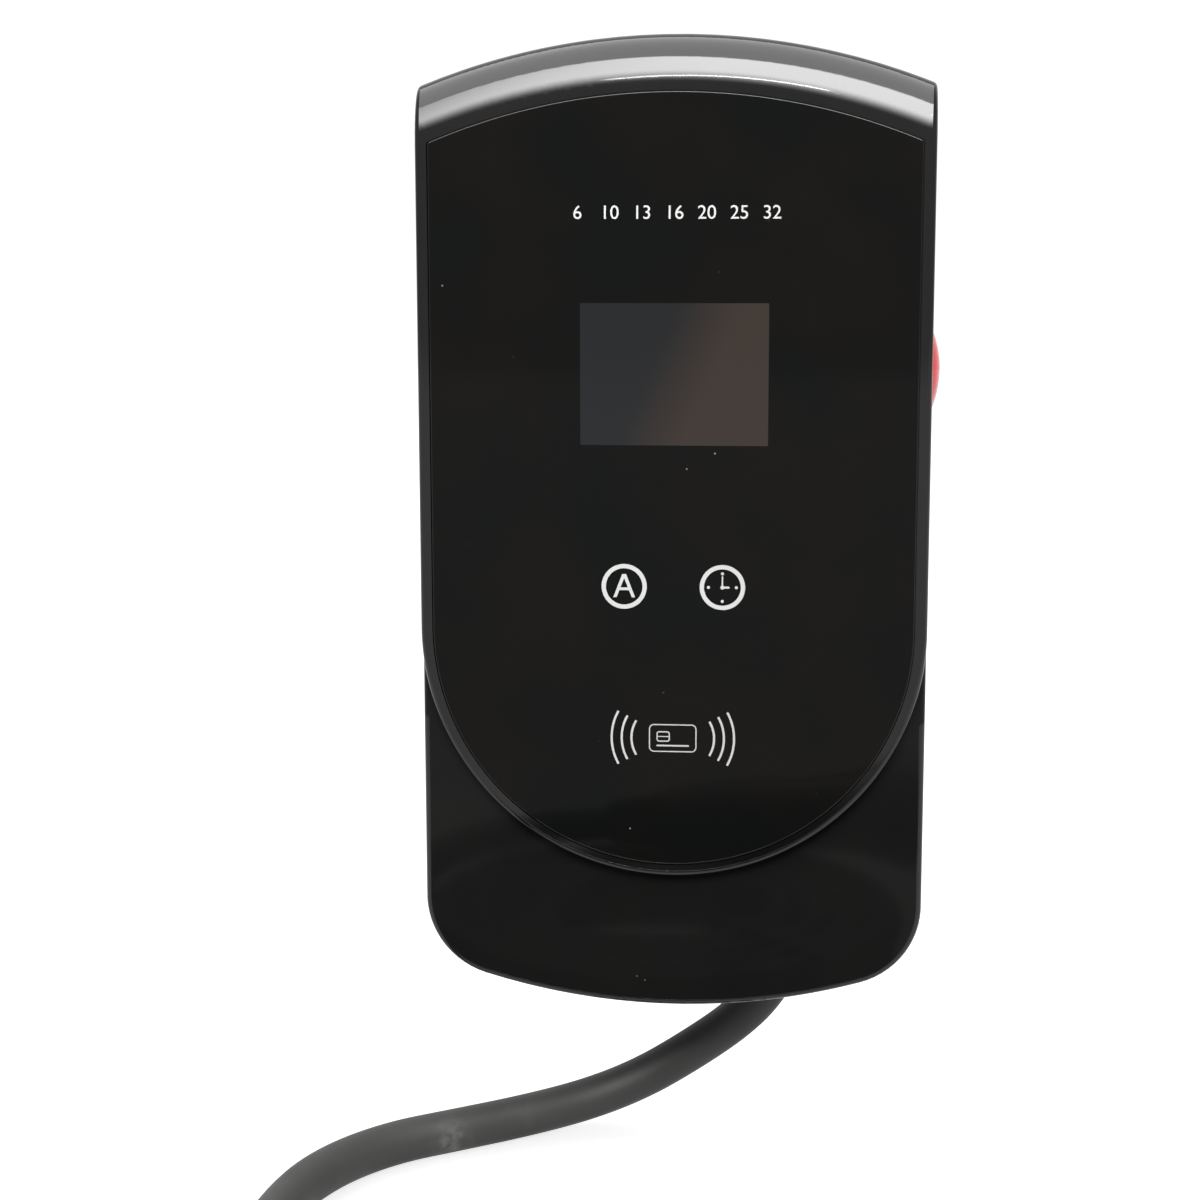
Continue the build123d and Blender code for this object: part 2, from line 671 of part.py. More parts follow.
def ribbon_cable():
    """Flat ribbon between the front board and the main board, below the relays."""
    half = RIBBON_WIDTH / 2
    low = MAIN_LOW + TERMINAL_TOP + (RELAY_GAP - RIBBON_THICK) / 2
    return block((-half, half), (BOARD_BACK, MAIN_FRONT), (low, low + RIBBON_THICK))


def housing_screws():
    """The long screws that draw the two housings together, from behind."""
    seat = PARTING + HOUSING_SCREW_SEAT
    tip = PARTING - HOUSING_SCREW_BITE
    return group([screw("Y", HOUSING_SCREW, seat, tip, place) for place in housing_screw_places()])


def cover_screws():
    """The screws that hold the cover to the front housing, sunk into its wall from inside."""
    tip = COVER_BACK - COVER_SCREW_BITE
    return group([screw("Y", COVER_SCREW, COVER_SCREW_SEAT, tip, place) for place in cover_screw_places()])


def front_board_screws():
    """The small screws of the front board."""
    tip = LEDGE_BACK - SMALL_SCREW_BITE
    return group([screw("Y", SMALL_SCREW, BOARD_BACK, tip, place) for place in front_board_screw_places()])


def board_screws():
    """The screws of the main board."""
    tip = MAIN_BACK + BOARD_SCREW_BITE
    return group([screw("Y", BOARD_SCREW, MAIN_FRONT, tip, place) for place in main_board_corners()])


def stop_rod(shape, start, end):
    """A flat shape made solid along the emergency stop's axis."""
    return rod("X", shape, start, end, (STOP_Y, STOP_Z))


def stop_places():
    """The X places of the emergency stop's pieces, from the well's floor to the head's top."""
    floor = HALF - REAR_INSET - STOP_WELL_DEPTH
    top = HALF + STOP_PROUD
    return {
        "floor": floor,
        "flange": floor + STOP_SEAL_THICK + STOP_FLANGE_THICK,
        "inside": floor - WALL,
        "thread_end": floor - WALL - STOP_NUT_THICK - STOP_THREAD_SPARE,
        "head_back": top - STOP_HEAD_THICK,
        "top": top,
    }


def stop_head():
    """Domed red head with moulded grips and a socket for the stem."""
    at = stop_places()
    rim = at["top"] - arc_drop(STOP_DOME_RADIUS, STOP_HEAD_RADIUS)
    half = Polyline((0, at["head_back"]), (STOP_HEAD_RADIUS, at["head_back"]), (STOP_HEAD_RADIUS, rim))
    middle = STOP_HEAD_RADIUS / 2
    crown = at["top"] - arc_drop(STOP_DOME_RADIUS, middle)
    dome = ThreePointArc((STOP_HEAD_RADIUS, rim), (middle, crown), (0, at["top"]))
    axis_line = Line((0, at["top"]), (0, at["head_back"]))
    profile = Face(Wire(half.edges() + dome.edges() + axis_line.edges()))
    plane = Plane((0, STOP_Y, STOP_Z), x_dir=(0, 1, 0), z_dir=(0, 0, -1))
    body = revolve(plane * profile, Axis((0, STOP_Y, STOP_Z), (1, 0, 0)))
    groove = STOP_HEAD_RADIUS / 6
    for number in range(STOP_GRIPS):
        cut = stop_rod(Pos(STOP_HEAD_RADIUS + groove / 2, 0) * Circle(groove), at["head_back"], at["top"])
        body -= cut.rotate(Axis((0, STOP_Y, STOP_Z), (1, 0, 0)), number * 360 / STOP_GRIPS)
    socket_end = at["head_back"] + STOP_STEM_GRIP + GAP
    return body - stop_rod(Circle(STOP_STEM_RADIUS + FIT), at["head_back"], socket_end)


def stop_plunger():
    """The stem that the head turns on, down through the bush."""
    at = stop_places()
    tip = at["thread_end"] - STOP_STEM_OVERTRAVEL
    return stop_rod(Circle(STOP_STEM_RADIUS), tip, at["head_back"] + STOP_STEM_GRIP)


def stop_collar():
    """Threaded bush through the well's floor, with a flange outside."""
    at = stop_places()
    flange = stop_rod(Circle(STOP_FLANGE_RADIUS), at["flange"] - STOP_FLANGE_THICK, at["flange"])
    flange = chamfer(flange.edges().group_by(Axis.X)[-1], 0.6)
    bush = stop_rod(Circle(STOP_THREAD_RADIUS), at["thread_end"], at["flange"] - STOP_FLANGE_THICK)
    return flange + bush - stop_rod(Circle(STOP_STEM_RADIUS + FIT), at["thread_end"], at["flange"])


def stop_seal():
    """Flat rubber ring under the bush's flange."""
    at = stop_places()
    ring = Circle(STOP_FLANGE_RADIUS - 0.5) - Circle(STOP_THREAD_RADIUS + FIT)
    return stop_rod(ring, at["floor"], at["floor"] + STOP_SEAL_THICK)


def stop_nut():
    """Hexagonal nut that clamps the bush from inside."""
    at = stop_places()
    ring = RegularPolygon(STOP_NUT_AF / 2, 6, major_radius=False) - Circle(STOP_THREAD_RADIUS + FIT)
    return stop_rod(ring, at["inside"] - STOP_NUT_THICK, at["inside"])


def stop_contacts():
    """Contact block behind the bush, hollow where the stem comes down."""
    at = stop_places()
    square = RectangleRounded(STOP_BLOCK, STOP_BLOCK, 2.0)
    body = stop_rod(square, at["thread_end"] - STOP_BLOCK_LENGTH, at["thread_end"])
    deep = STOP_TRAVEL + STOP_STEM_OVERTRAVEL + 2 * GAP
    body -= stop_rod(Circle(STOP_STEM_RADIUS + GAP), at["thread_end"] - deep, at["thread_end"])
    return body


def stop_spring():
    """Return spring between the bush's flange and the head."""
    at = stop_places()
    low = at["flange"] + SPRING_WIRE / 2
    high = at["head_back"] - SPRING_WIRE / 2
    path = Helix((high - low) / SPRING_TURNS, high - low, SPRING_RADIUS)
    section = Plane(path @ 0, z_dir=path % 0) * Circle(SPRING_WIRE / 2)
    coil = sweep(section, path=path)
    return Plane((low, STOP_Y, STOP_Z), x_dir=(0, 1, 0), z_dir=(1, 0, 0)) * coil


def gland_body(x, bore):
    """Threaded tube through the housing's floor, with a hexagon outside."""
    bottom = FLOOR_Z + REAR_INSET
    hexagon = RegularPolygon(GLAND_AF / 2, 6, major_radius=False)
    body = rod("Z", hexagon, bottom - GLAND_HEX, bottom, (x, GLAND_Y))
    top = bottom + WALL + GLAND_LOCKNUT + GLAND_STUB
    body += rod("Z", Circle(GLAND_THREAD / 2), bottom, top, (x, GLAND_Y))
    return body - rod("Z", Circle(bore), bottom - GLAND_HEX, top, (x, GLAND_Y))


def gland_locknut(x):
    """Hexagonal nut on the gland's thread, inside the housing."""
    floor = FLOOR_Z + REAR_INSET + WALL
    ring = RegularPolygon(GLAND_LOCKNUT_AF / 2, 6, major_radius=False) - Circle(GLAND_THREAD / 2 + FIT)
    return rod("Z", ring, floor, floor + GLAND_LOCKNUT, (x, GLAND_Y))


def gland_nut(x):
    """Domed nut that squeezes the seal."""
    top = FLOOR_Z + REAR_INSET - GLAND_HEX
    radius = GLAND_AF / 2
    low = top - GLAND_NUT
    grip = top - GLAND_NUT / 2
    body = rod("Z", RegularPolygon(radius, 6, major_radius=False), grip, top, (x, GLAND_Y))
    dome = rod("Z", Circle(radius), low, grip, (x, GLAND_Y))
    dome = fillet(dome.edges().group_by(Axis.Z)[0], GLAND_NUT / 5)
    return body + dome - rod("Z", Circle(radius - GLAND_NUT_WALL), low, top, (x, GLAND_Y))


def gland_seal(x, bore, tail):
    """Rubber sleeve in the domed nut, with a tapered tail below it."""
    top = FLOOR_Z + REAR_INSET - GLAND_HEX
    radius = GLAND_AF / 2 - GLAND_NUT_WALL - FIT
    low = top - GLAND_NUT
    body = rod("Z", Circle(radius), low, top, (x, GLAND_Y))
    if tail:
        end = Plane((x, GLAND_Y, low - tail), z_dir=(0, 0, 1)) * Circle(bore + 1.0)
        start = Plane((x, GLAND_Y, low), z_dir=(0, 0, 1)) * Circle(radius - 0.5)
        body += loft([end, start])
    return body - rod("Z", Circle(bore), low - tail, top, (x, GLAND_Y))


def jacket_top():
    """Where the cable's jacket ends inside the housing."""
    return FLOOR_Z + REAR_INSET + WALL + GLAND_LOCKNUT + GLAND_STUB + JACKET_RISE


def corner_radii(points):
    """For each inner corner of a route, the largest arc that its two runs leave room for."""
    radii = []
    for before, corner, after in zip(points, points[1:], points[2:]):
        arriving = Vector(*corner) - Vector(*before)
        leaving = Vector(*after) - Vector(*corner)
        half_turn = math.radians(arriving.get_angle(leaving)) / 2
        radii.append(0.45 * min(arriving.length, leaving.length) / math.tan(half_turn))
    return radii


def tube(points, name):
    """A round cable along straight runs joined by tangent arcs."""
    radii = corner_radii(points)
    path = FilletPolyline(*points, radius=radii)
    section = Plane(path @ 0, z_dir=path % 0) * Circle(CABLE_RADIUS)
    body = sweep(section, path=path)
    share = body.volume / (math.pi * CABLE_RADIUS**2 * path.length)
    print(name, "length", round(path.length), "volume share", round(share, 4))
    print(name, "corner radii", [round(radius) for radius in radii])
    return body


def charging_cable():
    """The cable's jacket in the gland and its free stretch to the coil."""
    held = rod("Z", Circle(CABLE_RADIUS), ROUTE[0][2], jacket_top(), (GLAND_X, GLAND_Y))
    return held + tube(ROUTE, "free stretch")


def coil_section(grow):
    """The outline of the stacked turns, on one side of the coil's axis."""
    width = COIL_OUTER_TURN - COIL_INNER_TURN + CABLE + 2 * grow
    height = COIL_LAYERS * CABLE + 2 * grow
    middle = Pos((COIL_OUTER_TURN + COIL_INNER_TURN) / 2, TIE_THICK + COIL_LAYERS * CABLE / 2)
    return Plane((*COIL_CENTRE, GROUND_Z), x_dir=(1, 0, 0), z_dir=(0, -1, 0)) * (
        middle * RectangleRounded(width, height, CABLE_RADIUS + grow)
    )


def coil_axis():
    """The coil's upright axis."""
    return Axis((*COIL_CENTRE, GROUND_Z), (0, 0, 1))


def cable_coil():
    """The outer shape of the wound turns."""
    return revolve(coil_section(0), coil_axis())


def coil_tie():
    """Strap closed round the turns."""
    strap = revolve(coil_section(TIE_THICK), coil_axis(), TIE_ANGLE) - revolve(coil_section(0), coil_axis())
    return strap.rotate(coil_axis(), TIE_AT)


def shell_stations():
    """Distances along the connector's axis from the end of its bend relief."""
    rear = BOOT_LENGTH - BOOT_GRIP
    waist = rear + SHELL_GRIP_LENGTH
    flare = waist + SHELL_FLARE
    return {"rear": rear, "waist": waist, "flare": flare, "mouth": flare + SHELL_NOSE}


def connector_plane():
    """The connector's own frame: X along its axis to the mouth, its rear and grip resting on the coil."""
    at = shell_stations()
    edge = math.sqrt(COIL_OUTER_TURN**2 - CONNECTOR_Y**2) - CONNECTOR_X
    tilt = math.atan((SHELL_WAIST_RADIUS - SHELL_REAR_RADIUS) / (at["waist"] - at["rear"]))
    along = (math.cos(tilt), 0, math.sin(tilt))
    upward = (-math.sin(tilt), 0, math.cos(tilt))
    x = COIL_CENTRE[0] + CONNECTOR_X
    y = COIL_CENTRE[1] + CONNECTOR_Y
    grip = shell_form() & disc(SHELL_NOSE_RADIUS, 0, edge)
    resting = Plane((x, y, 0), x_dir=along, z_dir=upward) * grip
    top = GROUND_Z + TIE_THICK + COIL_LAYERS * CABLE
    lift = top + FIT - resting.bounding_box().min.Z
    return Plane((x, y, lift), x_dir=along, z_dir=upward)


def turned(profile):
    """A half section in X and radius, turned about the connector's axis."""
    return revolve(profile, Axis.X)


def disc(radius, start, end):
    """A round of the connector between two places on its axis."""
    return rod("X", Circle(radius), start, end, (0, 0))


def shell_form():
    """The connector's outer form, slim at the grip and wide at the nose."""
    at = shell_stations()
    middle = (at["rear"] + at["waist"]) / 2
    flare = (at["waist"] + at["flare"]) / 2
    swell = (SHELL_WAIST_RADIUS + SHELL_NOSE_RADIUS) / 2
    grip = Spline(
        (at["rear"], SHELL_REAR_RADIUS),
        (middle, SHELL_GRIP_RADIUS),
        (at["waist"], SHELL_WAIST_RADIUS),
        (flare, swell),
        (at["flare"], SHELL_NOSE_RADIUS),
        tangents=((1, 0.05), (1, 0)),
    )
    rest = Polyline(
        (at["flare"], SHELL_NOSE_RADIUS),
        (at["mouth"], SHELL_NOSE_RADIUS),
        (at["mouth"], 0),
        (at["rear"], 0),
        (at["rear"], SHELL_REAR_RADIUS),
    )
    return turned(Face(Wire(grip.edges() + rest.edges())))


def shell_screw_places():
    """Where the screws of the shells stand along the axis, and on which side."""
    at = shell_stations()
    along = (at["rear"] + SHELL_SCREW_REAR, at["waist"] + SHELL_SCREW_FRONT)
    return [(x, side * SHELL_SCREW_OFFSET) for x in along for side in (-1, 1)]


def connector_shells():
    """The upper and lower shells, hollow for the boot, the cable and the contact carrier."""
    at = shell_stations()
    body = shell_form()
    cable_end = at["rear"] + BOOT_GRIP + CABLE_GRIP
    body -= disc(BOOT_RADIUS - BOOT_STEP + FIT, at["rear"], at["rear"] + BOOT_GRIP + FIT)
    body -= disc(CABLE_RADIUS + FIT, at["rear"], cable_end + FIT)
    body -= disc(SHELL_SCREW_OFFSET - SHELL_SCREW, cable_end, at["mouth"] - NOSE_DEPTH)
    body -= carrier_form(FIT)
    body -= disc(SHELL_NOSE_RADIUS - NOSE_WALL, at["mouth"] - NOSE_DEPTH, at["mouth"])
    body = chamfer(body.edges().group_by(Axis.X)[-1], 0.8)
    big = 4 * SHELL_NOSE_RADIUS
    upper = body & block((0, at["mouth"] + 1), (-big, big), (0, big))
    lower = body & block((0, at["mouth"] + 1), (-big, big), (-big, 0))
    for place in shell_screw_places():
        lower -= rod("Z", Circle(SHELL_SCREW / 2 + GAP), -SHELL_SCREW, 0, place)
        lower -= rod("Z", Circle(SHELL_SCREW + GAP), -big, -SHELL_SCREW, place)
        upper -= rod("Z", Circle(SHELL_SCREW / 2 + FIT), 0, 2 * SHELL_SCREW + GAP, place)
    return upper, lower


def carrier_form(grow):
    """Round block with a flat at its top, set back in the connector's mouth."""
    at = shell_stations()
    back = at["mouth"] - NOSE_DEPTH - CARRIER_THICK
    body = disc(SHELL_NOSE_RADIUS - NOSE_WALL - 1.0 + grow, back - grow, at["mouth"] - NOSE_DEPTH)
    big = 4 * SHELL_NOSE_RADIUS
    return body & block((0, at["mouth"]), (-big, big), (-big, CARRIER_FLAT + grow))


def contact_places():
    """Contacts on a ring below the flat, with one in the middle."""
    ring = CONTACT_COUNT - 1
    spread = math.radians(CONTACT_SPREAD)
    angles = [math.radians(-90) + (i - (ring - 1) / 2) * spread for i in range(ring)]
    return [(CONTACT_RING * math.cos(a), CONTACT_RING * math.sin(a)) for a in angles] + [(0, 0)]


def connector_carrier():
    """Insulating block that holds the contacts."""
    at = shell_stations()
    front = at["mouth"] - NOSE_DEPTH
    body = carrier_form(0)
    for place in contact_places():
        body -= rod("X", Circle(CONTACT_RADIUS + FIT), front - CARRIER_THICK, front, place)
    return body


def connector_contacts():
    """Silvered contact sleeves, a little below the carrier's face."""
    at = shell_stations()
    front = at["mouth"] - NOSE_DEPTH
    ring = Circle(CONTACT_RADIUS) - Circle(CONTACT_RADIUS - CONTACT_WALL)
    return group([rod("X", ring, front - CARRIER_THICK, front - 1.0, place) for place in contact_places()])


def connector_boot():
    """Tapered bend relief with a collar held in the shells."""
    at = shell_stations()
    end = Plane((0, 0, 0), x_dir=(0, 1, 0), z_dir=(1, 0, 0)) * Circle(BOOT_END_RADIUS)
    root = Plane((at["rear"], 0, 0), x_dir=(0, 1, 0), z_dir=(1, 0, 0)) * Circle(BOOT_RADIUS)
    body = loft([end, root]) + disc(BOOT_RADIUS - BOOT_STEP, at["rear"], at["rear"] + BOOT_GRIP)
    return body - disc(CABLE_RADIUS + FIT, 0, at["rear"] + BOOT_GRIP)


def connector_screws():
    """The screws that hold the shells together."""
    tip = 2 * SHELL_SCREW
    return group([screw("Z", SHELL_SCREW, -SHELL_SCREW, tip, place) for place in shell_screw_places()])


def cable_tail():
    """The cable's last stretch, off the coil and into the connector."""
    at = shell_stations()
    plane = connector_plane()
    lead = [(COIL_CENTRE[0] + x, COIL_CENTRE[1] + y, GROUND_Z + z) for x, y, z in TAIL]
    entry = plane.from_local_coords((-1.5 * CABLE, 0, 0))
    end = plane.from_local_coords((at["rear"] + BOOT_GRIP + CABLE_GRIP, 0, 0))
    return tube(lead + [tuple(entry), tuple(end)], "tail")


def placed(piece):
    """A piece of the connector, moved from its own frame to where it lies."""
    return connector_plane() * piece


def build():
    """Every piece of the charging station by name."""
    upper_shell, lower_shell = connector_shells()
    held = CABLE_RADIUS + FIT
    return {
        "touch_panel": touch_panel(),
        "upper_cover": upper_cover(),
        "front_housing": front_housing(),
        "rear_housing": rear_housing(),
        "housing_gasket": gasket_ring(),
        "housing_screws": housing_screws(),
        "cover_screws": cover_screws(),
        "front_board": front_board(),
        "front_board_screws": front_board_screws(),
        "display_module": on_front_board(DISPLAY_WIDTH, DISPLAY_HEIGHT, LEDGE_THICK, TOP_Z - DISPLAY_DROP),
        "reader_antenna": on_front_board(ANTENNA_WIDTH, ANTENNA_HEIGHT, ANTENNA_THICK, ANTENNA_Z),
        "ribbon_cable": ribbon_cable(),
        "main_board": main_board(),
        "board_standoffs": board_standoffs(),
        "board_screws": board_screws(),
        "relays": relays(),
        "power_supply": power_supply(),
        "capacitors": capacitors(),
        "supply_terminals": terminals(-GLAND_X),
        "output_terminals": terminals(GLAND_X),
        "residual_sensor": residual_sensor(),
        "output_conductors": output_conductors(),
        "stop_head": stop_head(),
        "stop_plunger": stop_plunger(),
        "stop_spring": stop_spring(),
        "stop_collar": stop_collar(),
        "stop_seal": stop_seal(),
        "stop_nut": stop_nut(),
        "stop_contacts": stop_contacts(),
        "wall_bracket": wall_bracket(),
        "bracket_screws": bracket_screws(),
        "output_gland_body": gland_body(GLAND_X, held),
        "output_gland_locknut": gland_locknut(GLAND_X),
        "output_gland_nut": gland_nut(GLAND_X),
        "output_gland_seal": gland_seal(GLAND_X, held, GLAND_TAIL),
        "supply_gland_body": gland_body(-GLAND_X, SUPPLY_BORE),
        "supply_gland_locknut": gland_locknut(-GLAND_X),
        "supply_gland_nut": gland_nut(-GLAND_X),
        "supply_gland_seal": gland_seal(-GLAND_X, SUPPLY_BORE, 0),
        "charging_cable": charging_cable(),
        "cable_coil": cable_coil(),
        "coil_tie": coil_tie(),
        "cable_tail": cable_tail(),
        "connector_upper_shell": placed(upper_shell),
        "connector_lower_shell": placed(lower_shell),
        "connector_carrier": placed(connector_carrier()),
        "connector_contacts": placed(connector_contacts()),
        "connector_boot": placed(connector_boot()),
        "connector_screws": placed(connector_screws()),
    }


for node, shape in build().items():
    export_step(shape, f"parts/{node}.step")
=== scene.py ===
"""Dresses the charging station: camera, cable, finishes, panel prints, spring, rounded edges and studio.

Places are in the part's own frame: X to the right, Y into the wall and Z up. They are in metres, or in
millimetres where MM carries them over.
"""

import logging
import math
from dataclasses import dataclass
from enum import Enum
from functools import lru_cache
from typing import List, Sequence, Tuple, Union

import bmesh
import bpy
import numpy as np
from mathutils import Matrix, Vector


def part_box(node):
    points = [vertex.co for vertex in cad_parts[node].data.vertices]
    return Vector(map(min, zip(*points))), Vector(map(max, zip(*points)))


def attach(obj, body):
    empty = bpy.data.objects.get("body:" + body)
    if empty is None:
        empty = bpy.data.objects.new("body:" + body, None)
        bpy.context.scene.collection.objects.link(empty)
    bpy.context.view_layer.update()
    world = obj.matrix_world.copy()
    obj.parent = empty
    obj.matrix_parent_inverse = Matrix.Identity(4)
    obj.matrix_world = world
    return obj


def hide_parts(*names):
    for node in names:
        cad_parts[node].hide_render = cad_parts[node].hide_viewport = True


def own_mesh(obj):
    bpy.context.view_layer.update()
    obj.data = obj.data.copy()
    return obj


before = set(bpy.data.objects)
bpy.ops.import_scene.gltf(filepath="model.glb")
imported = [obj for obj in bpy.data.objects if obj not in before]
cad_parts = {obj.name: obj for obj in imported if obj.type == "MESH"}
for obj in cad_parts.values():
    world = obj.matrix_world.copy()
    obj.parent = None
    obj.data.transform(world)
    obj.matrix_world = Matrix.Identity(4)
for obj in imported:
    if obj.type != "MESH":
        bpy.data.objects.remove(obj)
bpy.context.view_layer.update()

log = logging.getLogger("charging_station")

Point = Tuple[float, float, float]
Flat = Tuple[float, float]
Colour = Tuple[float, float, float]
Socket = bpy.types.NodeSocket
Shape = Tuple[np.ndarray, List[Sequence[int]]]

MM = 0.001
# Points nearer than this, in metres, become one
WELD = 1e-7
ROOT_BODY = "station"
# The panel's front face, as Y in millimetres
PANEL_FACE = -100.0
WHITE = (1.0, 1.0, 1.0, 1.0)


class Axis(Enum):
    """The direction a pattern runs in."""

    X = 0
    Y = 1
    Z = 2


def solid_colour(colour: Colour) -> Tuple[float, float, float, float]:
    """A colour with full cover, as Blender's sockets take it."""
    return (*colour, 1.0)


class Graph:
    """The node tree of a material, a light or the world, with short ways to add to it."""

    def __init__(self, owner: Union[bpy.types.Material, bpy.types.Light, bpy.types.World]) -> None:
        """Turns the owner's nodes on.

        Args:
            owner: What the tree belongs to.
        """
        owner.use_nodes = True
        self.nodes = owner.node_tree.nodes
        self.links = owner.node_tree.links

    def feed(self, socket: Socket, value: object) -> None:
        """Links another node's output to a socket, or sets a constant on it.

        Args:
            socket: The socket.
            value: The output or the constant.
        """
        if isinstance(value, Socket):
            self.links.new(value, socket)
        else:
            socket.default_value = value

    def join(self, node: bpy.types.Node, **sockets: object) -> None:
        """Feeds a node's sockets, with spaces in their names written as underscores."""
        for name, value in sockets.items():
            self.feed(node.inputs[name.replace("_", " ")], value)

    def add(self, kind: str, **sockets: object) -> bpy.types.Node:
        """Adds a node and feeds its sockets.

        Args:
            kind: The node's type, without Blender's prefix.
            sockets: What each socket takes, with spaces in the names written as underscores.

        Returns:
            The node.
        """
        node = self.nodes.new("ShaderNode" + kind)
        self.join(node, **sockets)
        return node

    def split(self, vector: Socket) -> bpy.types.bpy_prop_collection:
        """A vector's X, Y and Z, by name."""
        return self.add("SeparateXYZ", Vector=vector).outputs

    def compute(self, operation: str, *values: Union[Socket, float, Point], kind: str = "Math") -> Socket:
        """One step of arithmetic.

        Args:
            operation: Blender's name for the step.
            values: What it works on, in order.
            kind: Math for numbers, or VectorMath.

        Returns:
            The resulting number.
        """
        node = self.add(kind)
        node.operation = operation
        for socket, value in zip(node.inputs, values):
            self.feed(socket, value)
        return node.outputs["Value"]

    def mapped(self, value: Socket, to: Flat, given: Flat = (0.3, 0.7), smooth: bool = False) -> Socket:
        """A value carried from one range to another.

        Args:
            value: The incoming value.
            to: The results at the two ends.
            given: The incoming values there.
            smooth: Whether it eases in and out.

        Returns:
            The carried value.
        """
        node = self.add("MapRange", Value=value, From_Min=given[0], From_Max=given[1], To_Min=to[0],
                        To_Max=to[1])
        node.interpolation_type = "SMOOTHSTEP" if smooth else "LINEAR"
        return node.outputs["Result"]


class Surface(Graph):
    """One material's node tree, with its shader and its output in place."""

    def __init__(self, name: str) -> None:
        """Starts an empty tree.

        Args:
            name: The material's name.
        """
        self.material = bpy.data.materials.new(name)
        super().__init__(self.material)
        self.nodes.clear()
        self.shader = self.add("BsdfPrincipled")
        self.add("OutputMaterial", Surface=self.shader.outputs["BSDF"])
        self.place = self.add("TexCoord").outputs["Object"]

    def set(self, **sockets: object) -> None:
        """Feeds the shader's sockets, with spaces in their names written as underscores."""
        self.join(self.shader, **sockets)

    def noise(self, scale: float, detail: float, at: Socket = None) -> Socket:
        """Cloudy noise about 0.5, with so many lumps per metre and so many finer layers."""
        return self.add("TexNoise", Scale=scale, Detail=detail, Vector=at or self.place).outputs["Fac"]

    def waves(self, scale: float, along: Axis) -> Socket:
        """Even stripes across one axis.

        Args:
            scale: About a third of the stripes per metre.
            along: The axis.

        Returns:
            A value from 0 to 1.
        """
        node = self.add("TexWave", Scale=scale, Distortion=0.0, Vector=self.place)
        node.bands_direction = along.name
        return node.outputs["Fac"]

    def ramp(self, value: Socket, stops: Sequence[Tuple[float, Colour]]) -> Socket:
        """Colours picked along a value.

        Args:
            value: The value, from 0 to 1.
            stops: Places along it with their colours.

        Returns:
            The colour.
        """
        node = self.add("ValToRGB", Fac=value)
        for element, (at, colour) in zip(node.color_ramp.elements, stops):
            element.position = at
            element.color = solid_colour(colour)
        return node.outputs["Color"]

    def mixed(self, share: Socket, under: Socket, over: Colour) -> Socket:
        """A plain colour laid over another.

        Args:
            share: How much of it shows, from 0 to 1.
            under: The colour below.
            over: The colour on top.

        Returns:
            The mixed colour.
        """
        node = self.add("Mix")
        node.data_type = "RGBA"
        sockets = {socket.identifier: socket for socket in [*node.inputs, *node.outputs]}
        self.feed(sockets["Factor_Float"], share)
        self.feed(sockets["A_Color"], under)
        self.feed(sockets["B_Color"], solid_colour(over))
        return sockets["Result_Color"]

    def bump(self, height: Socket, depth: float, strength: float) -> None:
        """Raises the surface by a height between 0 and 1, where 1 stands for the depth in metres."""
        node = self.add("Bump", Strength=strength, Distance=depth, Height=height)
        self.set(Normal=node.outputs["Normal"])


@dataclass(frozen=True)
class Finish:
    """What a piece's surface looks like."""

    name: str

    def draw(self, surface: Surface) -> None:
        """Draws the finish on a new material."""
        raise NotImplementedError

    @lru_cache(maxsize=None)
    def material(self) -> bpy.types.Material:
        """Makes the material the first time, and gives the same one after that.

        Returns:
            The material.
        """
        surface = Surface(self.name)
        self.draw(surface)
        return surface.material


@dataclass(frozen=True)
class Moulding(Finish):
    """Moulded plastic or rubber: two close tones, a fine grain, and dust specks where it is glossy."""

    tint: Colour
    shade: Colour
    roughness: Flat
    grain: float = 900.0
    depth: float = 0.00004
    strength: float = 0.3
    specular: float = 0.5
    dust: float = 0.0
    dust_colour: Colour = (0.35, 0.35, 0.34)

    def draw(self, surface: Surface) -> None:
        """Draws clouded tones, rare specks, uneven gloss and the grain.

        Args:
            surface: The new material.
        """
        clouds = surface.noise(scale=22.0, detail=3.0)
        colour = surface.ramp(clouds, [(0.35, self.tint), (0.65, self.shade)])
        if self.dust:
            dots = surface.add("TexVoronoi", Scale=90.0, Vector=surface.place).outputs["Distance"]
            speck = surface.mapped(dots, (1.0, 0.0), given=(0.018, 0.04))
            patches = surface.noise(scale=31.0, detail=1.0)
            rare = surface.mapped(patches, (0.0, self.dust), given=(0.55, 0.62))
            colour = surface.mixed(surface.compute("MULTIPLY", speck, rare), colour, self.dust_colour)
        roughness = surface.mapped(surface.noise(scale=14.0, detail=4.0), self.roughness)
        surface.set(Base_Color=colour, Roughness=roughness, Specular_IOR_Level=self.specular)
        surface.bump(surface.noise(scale=self.grain, detail=2.0), self.depth, self.strength)


@dataclass(frozen=True)
class Metal(Finish):
    """Plated or turned metal with fine lines along one axis."""

    tint: Colour
    shade: Colour
    roughness: Flat
    along: Axis = Axis.Y
    fineness: float = 2600.0
    stretch: float = 0.04

    def draw(self, surface: Surface) -> None:
        """Draws the lines, as noise that is stretched along the axis.

        Args:
            surface: The new material.
        """
        scale = [1.0, 1.0, 1.0]
        scale[self.along.value] = self.stretch
        stretched = surface.add("Mapping", Vector=surface.place, Scale=scale).outputs["Vector"]
        lines = surface.noise(scale=self.fineness, detail=3.0, at=stretched)
        colour = surface.ramp(lines, [(0.3, self.shade), (0.7, self.tint)])
        surface.set(Base_Color=colour, Roughness=surface.mapped(lines, self.roughness), Metallic=1.0)
        surface.bump(lines, depth=0.00002, strength=0.25)


